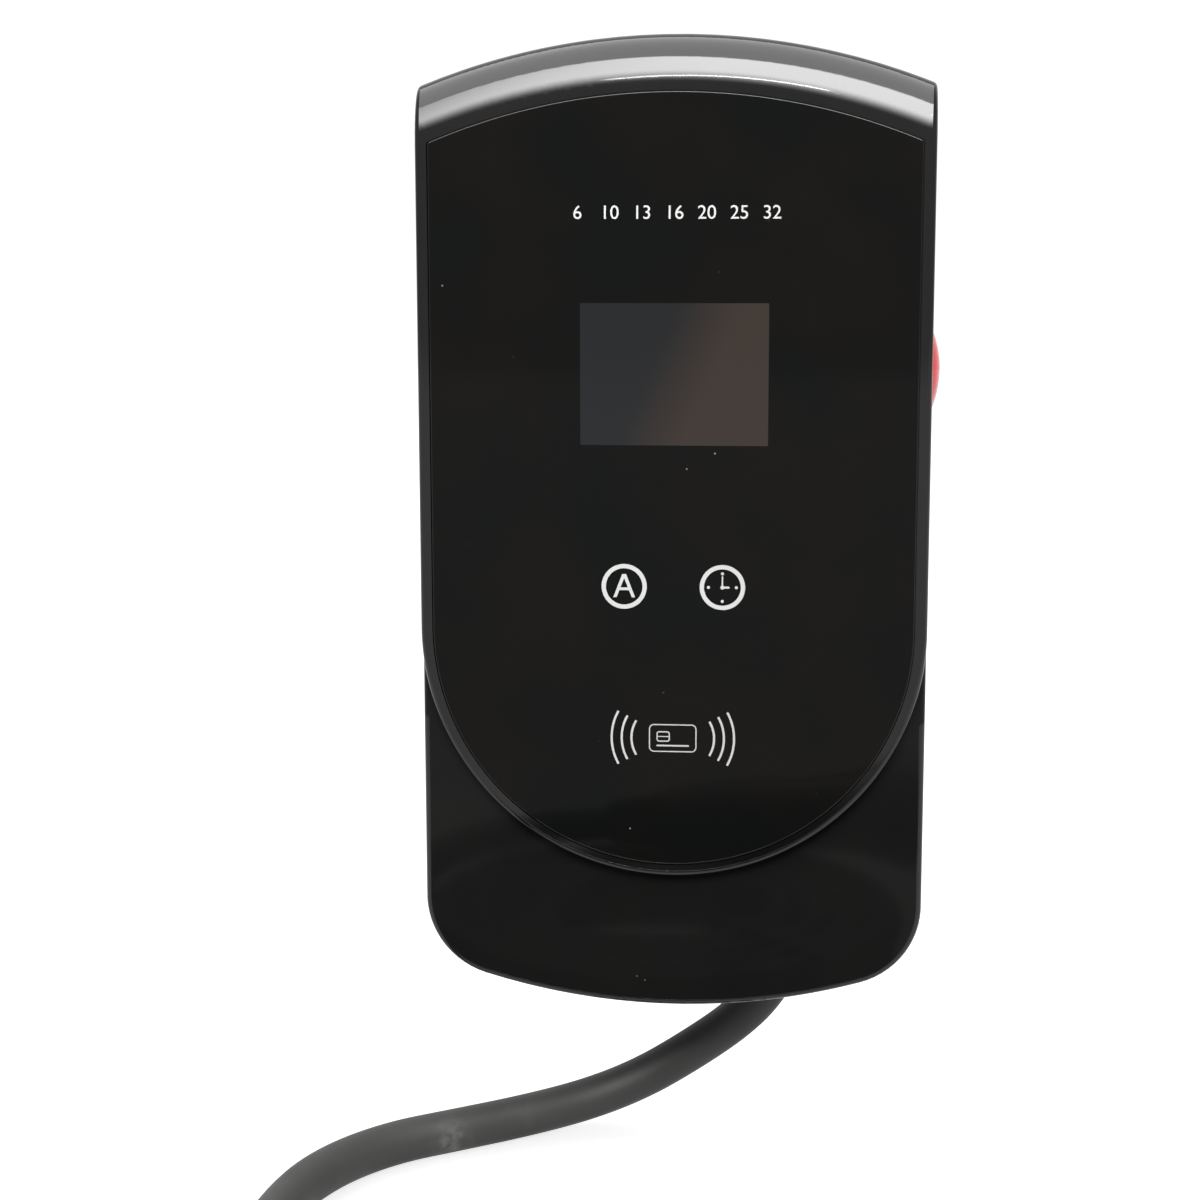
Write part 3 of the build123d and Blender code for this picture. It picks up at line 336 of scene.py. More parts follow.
@dataclass(frozen=True)
class Board(Finish):
    """Circuit board: green mask in two tones, with paler tracks between."""

    mask: Colour
    track: Colour
    second_tone: float = 0.8

    def draw(self, surface: Surface) -> None:
        """Draws the tracks as the joints of a brick pattern, on the board's face.

        Args:
            surface: The new material.
        """
        upright = surface.add("Mapping", Vector=surface.place, Rotation=(math.pi / 2, 0.0, 0.0))
        second = tuple(self.second_tone * c for c in self.mask)
        bricks = surface.add("TexBrick", Vector=upright.outputs["Vector"], Scale=90.0, Mortar_Size=0.035,
                             Color1=solid_colour(self.mask), Color2=solid_colour(second),
                             Mortar=solid_colour(self.track))
        roughness = surface.mapped(surface.noise(scale=500.0, detail=2.0), (0.3, 0.42))
        surface.set(Base_Color=bricks.outputs["Color"], Roughness=roughness)
        surface.bump(bricks.outputs["Fac"], depth=0.00003, strength=0.3)


@dataclass(frozen=True)
class Jacket(Finish):
    """The cable's soft jacket: matt dark grey with handling marks, one rubbed spot and a fine grain."""

    tint: Colour
    shade: Colour
    rub: Colour
    spot: Point
    spot_size: float
    spot_core: float = 0.2
    spot_light: float = 2.3

    def draw(self, surface: Surface) -> None:
        """Draws clouded grey, marks all over, and patchy wear near the spot.

        Args:
            surface: The new material.
        """
        clouds = surface.noise(scale=26.0, detail=5.0)
        base = surface.ramp(clouds, [(0.35, self.shade), (0.65, self.tint)])
        marks = surface.mapped(surface.noise(scale=60.0, detail=6.0), (0.0, 0.55), given=(0.6, 0.76))
        worn = surface.mixed(marks, base, self.rub)
        away = surface.compute("DISTANCE", surface.place, self.spot, kind="VectorMath")
        core = self.spot_core * self.spot_size
        near = surface.mapped(away, (1.0, 0.0), given=(core, self.spot_size))
        flecks = surface.noise(scale=260.0, detail=5.0)
        patchy = surface.mapped(flecks, (0.1, 0.95), given=(0.35, 0.7))
        pale = tuple(self.spot_light * c for c in self.rub)
        colour = surface.mixed(surface.compute("MULTIPLY", near, patchy), worn, pale)
        roughness = surface.mapped(surface.noise(scale=40.0, detail=4.0), (0.52, 0.66))
        surface.set(Base_Color=colour, Roughness=roughness, Specular_IOR_Level=0.4)
        surface.bump(surface.noise(scale=1500.0, detail=3.0), depth=0.00006, strength=0.35)


@dataclass(frozen=True)
class Strap(Finish):
    """Woven strap: crossed fine stripes with a soft sheen."""

    tint: Colour
    shade: Colour
    weave: float = 240.0

    def draw(self, surface: Surface) -> None:
        """Draws the weave.

        Args:
            surface: The new material.
        """
        crossed = (surface.waves(self.weave, axis) for axis in (Axis.X, Axis.Y))
        threads = surface.compute("MULTIPLY", *crossed)
        colour = surface.ramp(threads, [(0.0, self.shade), (0.6, self.tint)])
        roughness = surface.mapped(threads, (0.95, 0.8), given=(0.0, 1.0))
        surface.set(Base_Color=colour, Roughness=roughness, Sheen_Weight=0.3)
        surface.bump(threads, depth=0.0002, strength=0.5)


@dataclass(frozen=True)
class ScreenPaintedReflection(Finish):
    """Unlit display behind the panel, dark grey with uneven gloss, and a painted reflection on it: cool grey
    on the left, warm on the right.
    """

    left: Colour
    right: Colour
    lean: float
    middle: float
    soft: float

    def draw(self, surface: Surface) -> None:
        """Draws the painted reflection's two tones, with a soft leaning border between them.

        Args:
            surface: The new material.
        """
        at = surface.split(surface.place)
        leaning = surface.compute("MULTIPLY_ADD", at["Z"], -self.lean, at["X"])
        across = surface.mapped(leaning, (0.0, 1.0), given=(self.middle - self.soft, self.middle + self.soft))
        # Painted reflection: a cool tone left of the leaning border and a warm tone right of it
        colour = surface.ramp(across, [(0.0, self.left), (1.0, self.right)])
        roughness = surface.mapped(surface.noise(scale=30.0, detail=3.0), (0.1, 0.16))
        surface.set(Base_Color=colour, Roughness=roughness, Specular_IOR_Level=0.2)
        surface.bump(surface.noise(scale=25.0, detail=2.0), depth=0.00005, strength=0.05)


GLOSS_COVER = Moulding("gloss_cover", (0.0022, 0.0022, 0.0022), (0.003, 0.003, 0.0029), (0.05, 0.08),
                       grain=60.0, depth=0.00002, strength=0.04, specular=0.4, dust=0.5)
GLOSS_APRON = Moulding("gloss_apron", (0.0036, 0.0037, 0.0036), (0.0044, 0.0044, 0.0042), (0.05, 0.09),
                       grain=60.0, depth=0.00002, strength=0.04, specular=0.08, dust=0.35)
# The panel's clouds mix its own black with a warmer tone that is a painted reflection, spread at random
PANEL_WITH_PAINTED_REFLECTION = Moulding("panel_acrylic", (0.0022, 0.0024, 0.0024), (0.0034, 0.0029, 0.0026), (0.03, 0.06),
                 grain=40.0, depth=0.00001, strength=0.03, specular=0.07, dust=0.3)
# The panel's edge: its light line comes partly from its rounded shape and stronger reflection, and partly
# from a lighter tint that is a painted highlight; its warmer tone is the same painted reflection as the
# panel's
PANEL_EDGE_PAINTED_HIGHLIGHT = Moulding("panel_edge", (0.0034, 0.0036, 0.0035), (0.0047, 0.0042, 0.0038), (0.05, 0.08),
                      grain=40.0, depth=0.00001, strength=0.03, specular=0.28)
# The display's two tones are a painted reflection, cool on the left and warm on the right
SCREEN_PAINTED_REFLECTION = ScreenPaintedReflection("display_glass", (0.0062, 0.0065, 0.007), (0.0165, 0.012, 0.0099),
                lean=0.43, middle=-0.0225, soft=0.012)
MATT_REAR = Moulding("matt_rear", (0.012, 0.012, 0.0125), (0.017, 0.017, 0.017), (0.48, 0.6),
                     grain=1400.0, depth=0.0001, strength=0.5)
MATT_NYLON = Moulding("matt_nylon", (0.014, 0.014, 0.014), (0.02, 0.02, 0.02), (0.42, 0.55),
                      grain=1100.0, depth=0.00005)
GRIP_SHELL = Moulding("grip_shell", (0.013, 0.013, 0.0135), (0.019, 0.019, 0.019), (0.38, 0.5),
                      grain=1300.0, depth=0.00008, strength=0.4)
SOFT_RUBBER = Moulding("soft_rubber", (0.01, 0.01, 0.01), (0.016, 0.016, 0.016), (0.7, 0.82),
                       grain=700.0, depth=0.00005, specular=0.3)
STOP_RED = Moulding("stop_red", (0.44, 0.0115, 0.013), (0.385, 0.0095, 0.0105), (0.07, 0.12),
                    grain=60.0, depth=0.00001, strength=0.03, specular=0.06)
STEM_GREY = Moulding("stem_grey", (0.22, 0.22, 0.22), (0.17, 0.17, 0.17), (0.35, 0.45))
BLOCK_GREY = Moulding("block_grey", (0.2, 0.2, 0.205), (0.15, 0.15, 0.155), (0.4, 0.55))
TERMINAL_GREY = Moulding("terminal_grey", (0.3, 0.31, 0.32), (0.25, 0.255, 0.26), (0.4, 0.5))
SENSOR_BLUE = Moulding("sensor_blue", (0.03, 0.06, 0.2), (0.02, 0.045, 0.16), (0.3, 0.4))
CORE_BROWN = Moulding("core_brown", (0.2, 0.09, 0.04), (0.16, 0.07, 0.03), (0.4, 0.5))
RELAY_CASE = Moulding("relay_case", (0.02, 0.025, 0.03), (0.03, 0.035, 0.04), (0.25, 0.35))
RIBBON_GREY = Moulding("ribbon_grey", (0.42, 0.42, 0.42), (0.34, 0.34, 0.34), (0.5, 0.6))
ANTENNA_FILM = Moulding("antenna_film", (0.45, 0.22, 0.06), (0.36, 0.16, 0.04), (0.3, 0.45))
PRINT_INK = Moulding("print_ink", (0.285, 0.285, 0.279), (0.26, 0.26, 0.254), (0.45, 0.55),
                     grain=800.0, depth=0.00001, strength=0.1)
POWDER_COAT = Moulding("powder_coat", (0.02, 0.02, 0.02), (0.028, 0.028, 0.028), (0.45, 0.6),
                       grain=1800.0, depth=0.0001, strength=0.5)
BOARD_GREEN = Board("board_green", (0.015, 0.11, 0.045), (0.06, 0.2, 0.09))
JACKET = Jacket("cable_jacket", (0.0185, 0.0185, 0.0176), (0.0143, 0.0143, 0.0136), (0.034, 0.034, 0.0323),
                spot=(-0.088, -0.0885, -0.2455), spot_size=0.011)
STRAP = Strap("tie_strap", (0.025, 0.025, 0.026), (0.008, 0.008, 0.008))
ZINC = Metal("zinc_screws", (0.62, 0.62, 0.6), (0.45, 0.45, 0.44), (0.25, 0.42))
SPRING_STEEL = Metal("spring_steel", (0.55, 0.55, 0.55), (0.4, 0.4, 0.4), (0.25, 0.35), Axis.X)
BRASS = Metal("turned_brass", (0.72, 0.5, 0.2), (0.55, 0.37, 0.14), (0.25, 0.38))
CAN = Metal("drawn_can", (0.6, 0.6, 0.62), (0.48, 0.48, 0.5), (0.3, 0.42))
SILVER = Metal("silver_contacts", (0.8, 0.79, 0.76), (0.66, 0.65, 0.62), (0.18, 0.3), Axis.X)


def grid_faces(rows: int, columns: int, wrap_rows: bool, wrap_columns: bool) -> np.ndarray:
    """Quads between the neighbours of a grid of points.

    Args:
        rows: How many rows the grid has.
        columns: How many points each row has.
        wrap_rows: Whether the last row joins the first.
        wrap_columns: Whether each row's end joins its start.

    Returns:
        Four point numbers for each quad.
    """
    row = np.arange(rows if wrap_rows else rows - 1)[:, None]
    column = np.arange(columns if wrap_columns else columns - 1)[None, :]
    here = row * columns
    below = (row + 1) % rows * columns
    beside = (column + 1) % columns
    corners = (here + column, here + beside, below + beside, below + column)
    return np.stack(np.broadcast_arrays(*corners), axis=-1).reshape(-1, 4)


def tube_faces(rings: int, around: int, closed: bool = False) -> List[Sequence[int]]:
    """Quads between the rings of a tube, and a cap on each end of an open one.

    Args:
        rings: How many rings the tube has.
        around: How many points each ring has.
        closed: Whether the last ring joins the first.

    Returns:
        The faces as point numbers.
    """
    faces = grid_faces(rings, around, closed, True).tolist()
    if not closed:
        last = around * (rings - 1)
        faces += [list(range(around)), list(range(last + around - 1, last - 1, -1))]
    return faces


def settle(piece: bpy.types.Object, finish: Finish) -> None:
    """Puts a new piece in the scene with its finish and its body, and reports it.

    Args:
        piece: The piece.
        finish: Its finish.
    """
    bpy.context.scene.collection.objects.link(piece)
    piece.data.materials.append(finish.material())
    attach(piece, ROOT_BODY)
    log.info("piece %s on %s", piece.name, ROOT_BODY)


def piece_from(name: str, shape: Shape, finish: Finish, smooth: bool = False) -> bpy.types.Object:
    """Makes a closed piece at the origin, with its faces pointing outwards.

    Args:
        name: The piece's name.
        shape: Its points in the part's frame, and its faces.
        smooth: Whether it is shaded as one round surface.

    Returns:
        The new piece.
    """
    points, faces = shape
    mesh = bpy.data.meshes.new(name)
    mesh.from_pydata(points.reshape(-1, 3), [], faces)
    work = bmesh.new()
    work.from_mesh(mesh)
    bmesh.ops.remove_doubles(work, verts=work.verts, dist=WELD)
    bmesh.ops.recalc_face_normals(work, faces=work.faces)
    work.to_mesh(mesh)
    work.free()
    mesh.polygons.foreach_set("use_smooth", np.full(len(mesh.polygons), smooth))
    piece = bpy.data.objects.new(name, mesh)
    settle(piece, finish)
    return piece


def stroke(path: np.ndarray, width: float, thick: float, closed: bool = False, rounded: bool = True) -> Shape:
    """A flat line of print: a rectangle carried along a path, with its ends narrowed to half rounds.

    Args:
        path: Points along the middle of the line, two numbers each.
        width: The line's width.
        thick: Half of its thickness.
        closed: Whether it joins up with itself.
        rounded: Whether open ends are half rounds.

    Returns:
        Points as two flat numbers and a height, and faces.
    """
    half = np.full(len(path), width / 2)
    if not closed and rounded:
        # Six steps towards each tip, which stays a sliver wide and just short of the full half round
        lean = np.linspace(0.0, math.pi / 2, 7)[:-1]
        start = (path[0] - path[1]) / np.linalg.norm(path[0] - path[1])
        end = (path[-1] - path[-2]) / np.linalg.norm(path[-1] - path[-2])
        reach = 0.999 * width / 2 * np.cos(lean)[:, None]
        cap = np.maximum(width / 2 * np.sin(lean), width * 0.02)
        path = np.concatenate([path[0] + start * reach, path, path[-1] + end * reach[::-1]])
        half = np.concatenate([cap, half, cap[::-1]])
    if closed:
        along = np.roll(path, -1, axis=0) - np.roll(path, 1, axis=0)
    else:
        along = np.gradient(path, axis=0)
    along = along / np.linalg.norm(along, axis=1, keepdims=True)
    across = np.stack([-along[:, 1], along[:, 0]], axis=1) * half[:, None]
    left = path + across
    right = path - across
    flat = np.stack([left, right, right, left], axis=1)
    height = np.broadcast_to(np.array([thick, thick, -thick, -thick]), flat.shape[:2])
    points = np.concatenate([flat, height[..., None]], axis=2)
    return points.reshape(-1, 3), tube_faces(len(path), 4, closed)


def plate(loop: np.ndarray, thick: float) -> Shape:
    """A thin plate with the given outline: the outline drawn twice, with a wall between.

    Args:
        loop: The outline's points, two flat numbers each, anticlockwise.
        thick: Half of the plate's thickness.

    Returns:
        Points as two flat numbers and a height, and faces.
    """
    count = len(loop)
    front = np.concatenate([loop, np.full((count, 1), thick)], axis=1)
    back = np.concatenate([loop, np.full((count, 1), -thick)], axis=1)
    return np.concatenate([front, back]), tube_faces(2, count)


def arc(centre: Flat, radius: float, start: float, end: float, count: int = 40) -> np.ndarray:
    """Points on a circle from one angle to another, in degrees."""
    turn = np.radians(np.linspace(start, end, count))
    return np.array(centre) + radius * np.stack([np.cos(turn), np.sin(turn)], axis=1)


def circle(centre: Flat, radius: float, count: int) -> np.ndarray:
    """Points all round a circle, the first one not repeated."""
    return arc(centre, radius, 0.0, 360.0 - 360.0 / count, count)


def disc(centre: Flat, radius: float, thick: float) -> Shape:
    """A round dot of print, with half of its thickness."""
    return plate(circle(centre, radius, 32), thick)


def rounded_box(centre: Flat, width: float, height: float, radius: float) -> np.ndarray:
    """The outline of a rectangle with rounded corners, anticlockwise: a quarter circle at each corner.

    Args:
        centre: Its middle.
        width: Its width.
        height: Its height.
        radius: Its corners' radius.

    Returns:
        The outline's points.
    """
    corners = [(1, 1, 0), (-1, 1, 90), (-1, -1, 180), (1, -1, 270)]
    middle = np.array(centre)
    reach = np.array([width / 2 - radius, height / 2 - radius])
    return np.concatenate([
        arc(tuple(middle + reach * np.array([x, z])), radius, turn, turn + 90, 9) for x, z, turn in corners
    ])


def joined(shapes: Sequence[Shape]) -> Shape:
    """Several shapes as one.

    Args:
        shapes: The shapes.

    Returns:
        All their points, and their faces with the numbers that fit these.
    """
    offsets = np.cumsum([0] + [len(points) for points, _ in shapes])
    faces = [[int(i + at) for i in one] for (_, group), at in zip(shapes, offsets) for one in group]
    return np.concatenate([points for points, _ in shapes]), faces


def on_panel(shape: Shape) -> Shape:
    """Carries a flat shape in millimetres on to the panel's face."""
    x, z, height = shape[0].T
    return np.stack([x, PANEL_FACE - height, z], axis=1) * MM, shape[1]


@dataclass
class Viewpoint:
    """The camera, at the photograph's place, with angles in degrees and the focal length in pixels."""

    place: Point = (0.0516, -0.9558, 0.1143)
    pitch: float = 9.16
    yaw: float = 5.24
    roll: float = 0.1
    focal: float = 2324.0
    image: float = 1200.0
    sensor: float = 36.0
    nearest: float = 0.01

    def build(self) -> None:
        """Makes the camera and gives it to the scene."""
        data = bpy.data.cameras.new("camera")
        data.sensor_fit = "HORIZONTAL"
        data.sensor_width = self.sensor
        data.lens = self.focal / self.image * self.sensor
        data.clip_start = self.nearest
        camera = bpy.data.objects.new("camera", data)
        bpy.context.scene.collection.objects.link(camera)
        turn = Matrix.Rotation(math.radians(self.yaw), 4, "Z")
        tilt = Matrix.Rotation(math.radians(90.0 - self.pitch), 4, "X")
        lean = Matrix.Rotation(math.radians(-self.roll), 4, "Z")
        camera.matrix_world = Matrix.Translation(self.place) @ turn @ tilt @ lean
        bpy.context.scene.camera = camera
        log.info("camera with a %.1f mm lens", data.lens)


@dataclass
class ChargingCord:
    """The cable: out of its gland, down to the ground, round its coil and into the connector.

    Its first four values are in metres. Its route, coil, tail and ends are in millimetres, with the tail's
    points counted from the coil's centre on the ground.
    """

    diameter: float = 17.0 * MM
    length: float = 5.0
    ground: float = -251.5 * MM
    exit: Point = (0.041, -0.038, -0.169)
    route: Sequence[Point] = (
        (41.0, -38.0, -150.0),
        (41.0, -38.0, -170.0),
        (41.0, -38.0, -184.0),
        (34.5, -38.0, -197.0),
        (22.0, -38.0, -209.5),
        (4.0, -38.3, -222.5),
        (-15.0, -40.0, -234.0),
        (-36.0, -47.0, -241.0),
        (-60.0, -62.0, -243.0),
        (-88.0, -81.0, -243.0),
        (-108.0, -94.0, -243.0),
        (-125.0, -113.5, -243.0),
        (-136.0, -137.0, -243.0),
        (-140.5, -162.0, -243.0),
        (-142.5, -198.0, -243.0),
        (-142.0, -245.0, -243.0),
        (-143.5, -300.0, -242.0),
        (-143.0, -355.0, -241.5),
    )
    coil_centre: Flat = (-23.5, -355.0)
    outer_turn: float = 119.5
    inner_turn: float = 55.0
    low_layer: float = 10.0
    high_layer: float = 27.0
    start_angle: float = 180.0
    layer_turns: float = 3.778
    climb_turns: float = 0.25
    points_per_turn: int = 24
    corner_swell: float = 0.7
    tail: Sequence[Point] = (
        (-40.0, 110.0, 27.0),
        (-93.0, 75.0, 31.0),
        (-119.5, 26.0, 40.0),
        (-119.5, -24.0, 44.5),
        (-95.4, -66.0, 46.5),
    )
    entry: Point = (-78.46, -445.0, -201.27)
    end: Point = (11.9, -445.0, -196.51)
    smoothness: int = 6

    def coil_points(self) -> np.ndarray:
        """The coil's turns: a flat spiral inwards, a climb at the middle, and a spiral outwards on top.

        Returns:
            Points in millimetres.
        """
        turns = 2 * self.layer_turns + self.climb_turns
        count = int(round(turns * self.points_per_turn))
        done = np.linspace(0.0, turns, count + 1)[1:-1]
        inwards = np.clip(done / self.layer_turns, 0.0, 1.0)
        outwards = np.clip((done - self.layer_turns - self.climb_turns) / self.layer_turns, 0.0, 1.0)
        radius = self.outer_turn - (self.outer_turn - self.inner_turn) * (inwards - outwards)
        climb = np.clip((done - self.layer_turns) / self.climb_turns, 0.0, 1.0)
        angle = math.radians(self.start_angle) + math.tau * done
        spread = radius / math.cos(math.pi / self.points_per_turn) ** self.corner_swell
        height = self.ground / MM + self.low_layer + (self.high_layer - self.low_layer) * climb
        x = self.coil_centre[0] + spread * np.cos(angle)
        y = self.coil_centre[1] + spread * np.sin(angle)
        return np.stack([x, y, height], axis=1)

    def control_points(self) -> np.ndarray:
        """Every control point of the cable's line.

        Returns:
            Points in metres.
        """
        tail = np.array(self.tail) + np.array([*self.coil_centre, self.ground / MM])
        ends = np.array([self.entry, self.end])
        return np.concatenate([np.array(self.route), self.coil_points(), tail, ends]) * MM

    def build(self) -> bpy.types.Object:
        """Makes the cable as one smooth spline.

        Returns:
            The cable.
        """
        points = self.control_points()
        curve = bpy.data.curves.new("charging_cord", "CURVE")
        curve.dimensions = "3D"
        curve.bevel_depth = self.diameter / 2
        curve.bevel_resolution = self.smoothness
        curve.use_fill_caps = True
        curve.resolution_u = self.smoothness
        spline = curve.splines.new("NURBS")
        spline.points.add(len(points) - 1)
        spline.points.foreach_set("co", np.column_stack([points, np.ones(len(points))]).ravel())
        spline.order_u = 3
        spline.use_endpoint_u = True
        cord = bpy.data.objects.new("charging_cord", curve)
        settle(cord, JACKET)
        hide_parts("charging_cable", "cable_coil", "cable_tail")
        return cord


@dataclass
class PanelPrint:
    """White print on the touch panel: a row of numbers, two round keys and the card reader's sign.

    Sizes are in millimetres. Shapes that cross have different shares of the print's thickness, so that no two
    faces lie in one plane.
    """

    thick: float = 0.03
    key_height: float = -19.0
    key_radius: float = 7.66
    key_stroke: float = 1.62
    ampere_x: float = -17.8
    letter_leg: Sequence[Flat] = ((-4.1, -4.1), (-2.85, -4.1), (0.62, 4.7), (-0.72, 4.7))
    letter_bar: Sequence[Flat] = ((-2.0, -1.42), (2.0, -1.42), (2.0, -0.37), (-2.0, -0.37))
    letter_shares: Sequence[float] = (1.0, 0.94, 0.88)
    clock_x: float = 18.9
    dot_reach: float = 5.2
    dot_radius: float = 0.57
    hub_radius: float = 0.75
    minute_reach: float = 4.0
    minute_stroke: float = 0.55
    minute_share: float = 0.9
    hour_reach: float = 2.3
    hour_stroke: float = 0.8
    hour_share: float = 0.8
    reader: Flat = (0.55, -76.7)
    # The card and its chip: middle from the reader's, width, height, corner and stroke
    card_boxes: Sequence[Sequence[float]] = ((0.0, 0.0, 17.55, 10.3, 1.7, 0.42),
                                             (-3.6, 0.6, 4.6, 3.6, 0.8, 0.45))
    # Lines across the chip and the card: left end, right end and height from the reader's middle, and stroke
    card_lines: Sequence[Sequence[float]] = ((-5.9, -1.3, 0.6, 0.35), (-5.9, 5.9, -2.9, 0.6))
    card_share: float = 0.9
    # Waves: how far out each reaches, its height and its sag
    waves: Sequence[Point] = ((15.6, 13.2, 1.8), (19.3, 16.8, 2.2), (23.1, 20.4, 2.6))
    wave_stroke: float = 0.82
    numbers: Sequence[str] = ("6", "10", "13", "16", "20", "25", "32")
    numbers_height: float = 118.7
    numbers_width: float = 71.0
    numbers_size: float = 7.0

    def ring(self, x: float) -> Shape:
        """The ring round a key."""
        return stroke(circle((x, self.key_height), self.key_radius, 120), self.key_stroke, self.thick, True)

    def line(self, start: Flat, end: Flat, width: float, share: float) -> Shape:
        """A straight line, with a share of the print's thickness."""
        return stroke(np.linspace(start, end, 6), width, self.thick * share)

    def ampere_key(self) -> List[Shape]:
        """The current key: a ring with the unit's letter, drawn as two legs and a bar.

        Returns:
            Its shapes.
        """
        middle = np.array([self.ampere_x, self.key_height])
        left = np.array(self.letter_leg)
        right = left[[1, 0, 3, 2]] * (-1, 1)
        letter = zip((left, right, np.array(self.letter_bar)), self.letter_shares)
        plates = [plate(middle + part, self.thick * share) for part, share in letter]
        return [self.ring(self.ampere_x)] + plates

    def clock_key(self) -> List[Shape]:
        """The timer key: a ring with four dots and two hands.

        Returns:
            Its shapes.
        """
        x, z = self.clock_x, self.key_height
        dots = [disc((x + self.dot_reach * dx, z + self.dot_reach * dz), self.dot_radius, self.thick)
                for dx, dz in ((1, 0), (0, 1), (-1, 0), (0, -1))]
        minute = self.line((x, z), (x, z + self.minute_reach), self.minute_stroke, self.minute_share)
        hour = self.line((x, z), (x + self.hour_reach, z), self.hour_stroke, self.hour_share)
        return [self.ring(x), minute, hour, disc((x, z), self.hub_radius, self.thick)] + dots

    def reader_sign(self) -> List[Shape]:
        """The card reader's sign: a card with a chip between two groups of waves.

        Returns:
            Its shapes.
        """
        x, z = self.reader
        shapes = [stroke(rounded_box((x + dx, z + dz), width, height, corner), line, self.thick, True)
                  for dx, dz, width, height, corner, line in self.card_boxes]
        shapes += [self.line((x + left, z + rise), (x + right, z + rise), line, self.card_share)
                   for left, right, rise, line in self.card_lines]
        for reach, height, sag in self.waves:
            radius = (height**2 / 4 + sag**2) / (2 * sag)
            spread = math.degrees(math.asin(height / 2 / radius))
            for side, turn in ((-1, 180.0), (1, 0.0)):
                wave = arc((x + side * (reach - radius), z), radius, turn - spread, turn + spread)
                shapes.append(stroke(wave, self.wave_stroke, self.thick, rounded=False))
        return shapes

    def number_row(self) -> List[Shape]:
        """A row of plain numbers, drawn as text.

        Returns:
            Its shapes.
        """
        gap = self.numbers_width / (len(self.numbers) - 1)
        shapes = []
        for place, number in enumerate(self.numbers):
            text = bpy.data.curves.new("number", "FONT")
            text.body = number
            text.size = self.numbers_size
            text.extrude = self.thick
            text.align_x = "CENTER"
            text.align_y = "CENTER"
            holder = bpy.data.objects.new("number", text)
            mesh = bpy.data.meshes.new_from_object(holder)
            points = np.empty(3 * len(mesh.vertices))
            mesh.vertices.foreach_get("co", points)
            left = self.reader[0] - self.numbers_width / 2
            points = points.reshape(-1, 3) + np.array([left + place * gap, self.numbers_height, 0.0])
            shapes.append((points, [list(face.vertices) for face in mesh.polygons]))
            bpy.data.objects.remove(holder)
            bpy.data.meshes.remove(mesh)
            bpy.data.curves.remove(text)
        return shapes

    def build(self) -> None:
        """Makes every print as one piece."""
        prints = {
            "print_ampere_key": self.ampere_key(),
            "print_clock_key": self.clock_key(),
            "print_reader": self.reader_sign(),
            "print_numbers": self.number_row(),
        }
        for name, shapes in prints.items():
            piece_from(name, on_panel(joined(shapes)), PRINT_INK)


@dataclass
class DisplayWindow:
    """The display's clear window in the panel's print, in millimetres."""

    centre: Flat = (0.6, 60.0)
    width: float = 69.4
    height: float = 52.2
    corner: float = 0.4
    thick: float = 0.012

    def build(self) -> None:
        """Makes the window as a thin plate on the panel's face."""
        outline = rounded_box(self.centre, self.width, self.height, self.corner)
        piece_from("display_window", on_panel(plate(outline, self.thick)), SCREEN_PAINTED_REFLECTION)


@dataclass
class ReturnSpring:
    """The emergency stop's return spring: a wound wire that shortens as the head is pressed.

    Sizes are in millimetres, and keep is the share of its length that is left when it is shortest; it is not
    used.
    """

    start: Point = (85.3, -36.0, 58.2132)
    length: float = 6.5
    coil: float = 6.0
    wire: float = 0.3
    turns: float = 2.5
    keep: float = 0.38
    steps: int = 181
    around: int = 16

    def build(self) -> None:
        """Carries a small circle along a helix, square to it."""
        turn = np.linspace(0.0, math.tau * self.turns, self.steps)[:, None]
        ring = np.linspace(0.0, math.tau, self.around, endpoint=False)
        rise = (self.length - 2.0 * self.wire) / (math.tau * self.turns)
        lean = math.atan2(rise, self.coil)
        out = self.coil + self.wire * np.cos(ring)
        back = -self.wire * math.sin(lean) * np.sin(ring)
        along = self.wire + rise * turn + self.wire * math.cos(lean) * np.sin(ring)
        across = out * np.cos(turn) - back * np.sin(turn)
        up = out * np.sin(turn) + back * np.cos(turn)
        points = (np.array(self.start) + np.stack([along, across, up], axis=2)) * MM
        wire = points, tube_faces(self.steps, self.around)
        spring = piece_from("return_spring", wire, SPRING_STEEL, smooth=True)
        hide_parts("stop_spring")
        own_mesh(spring)


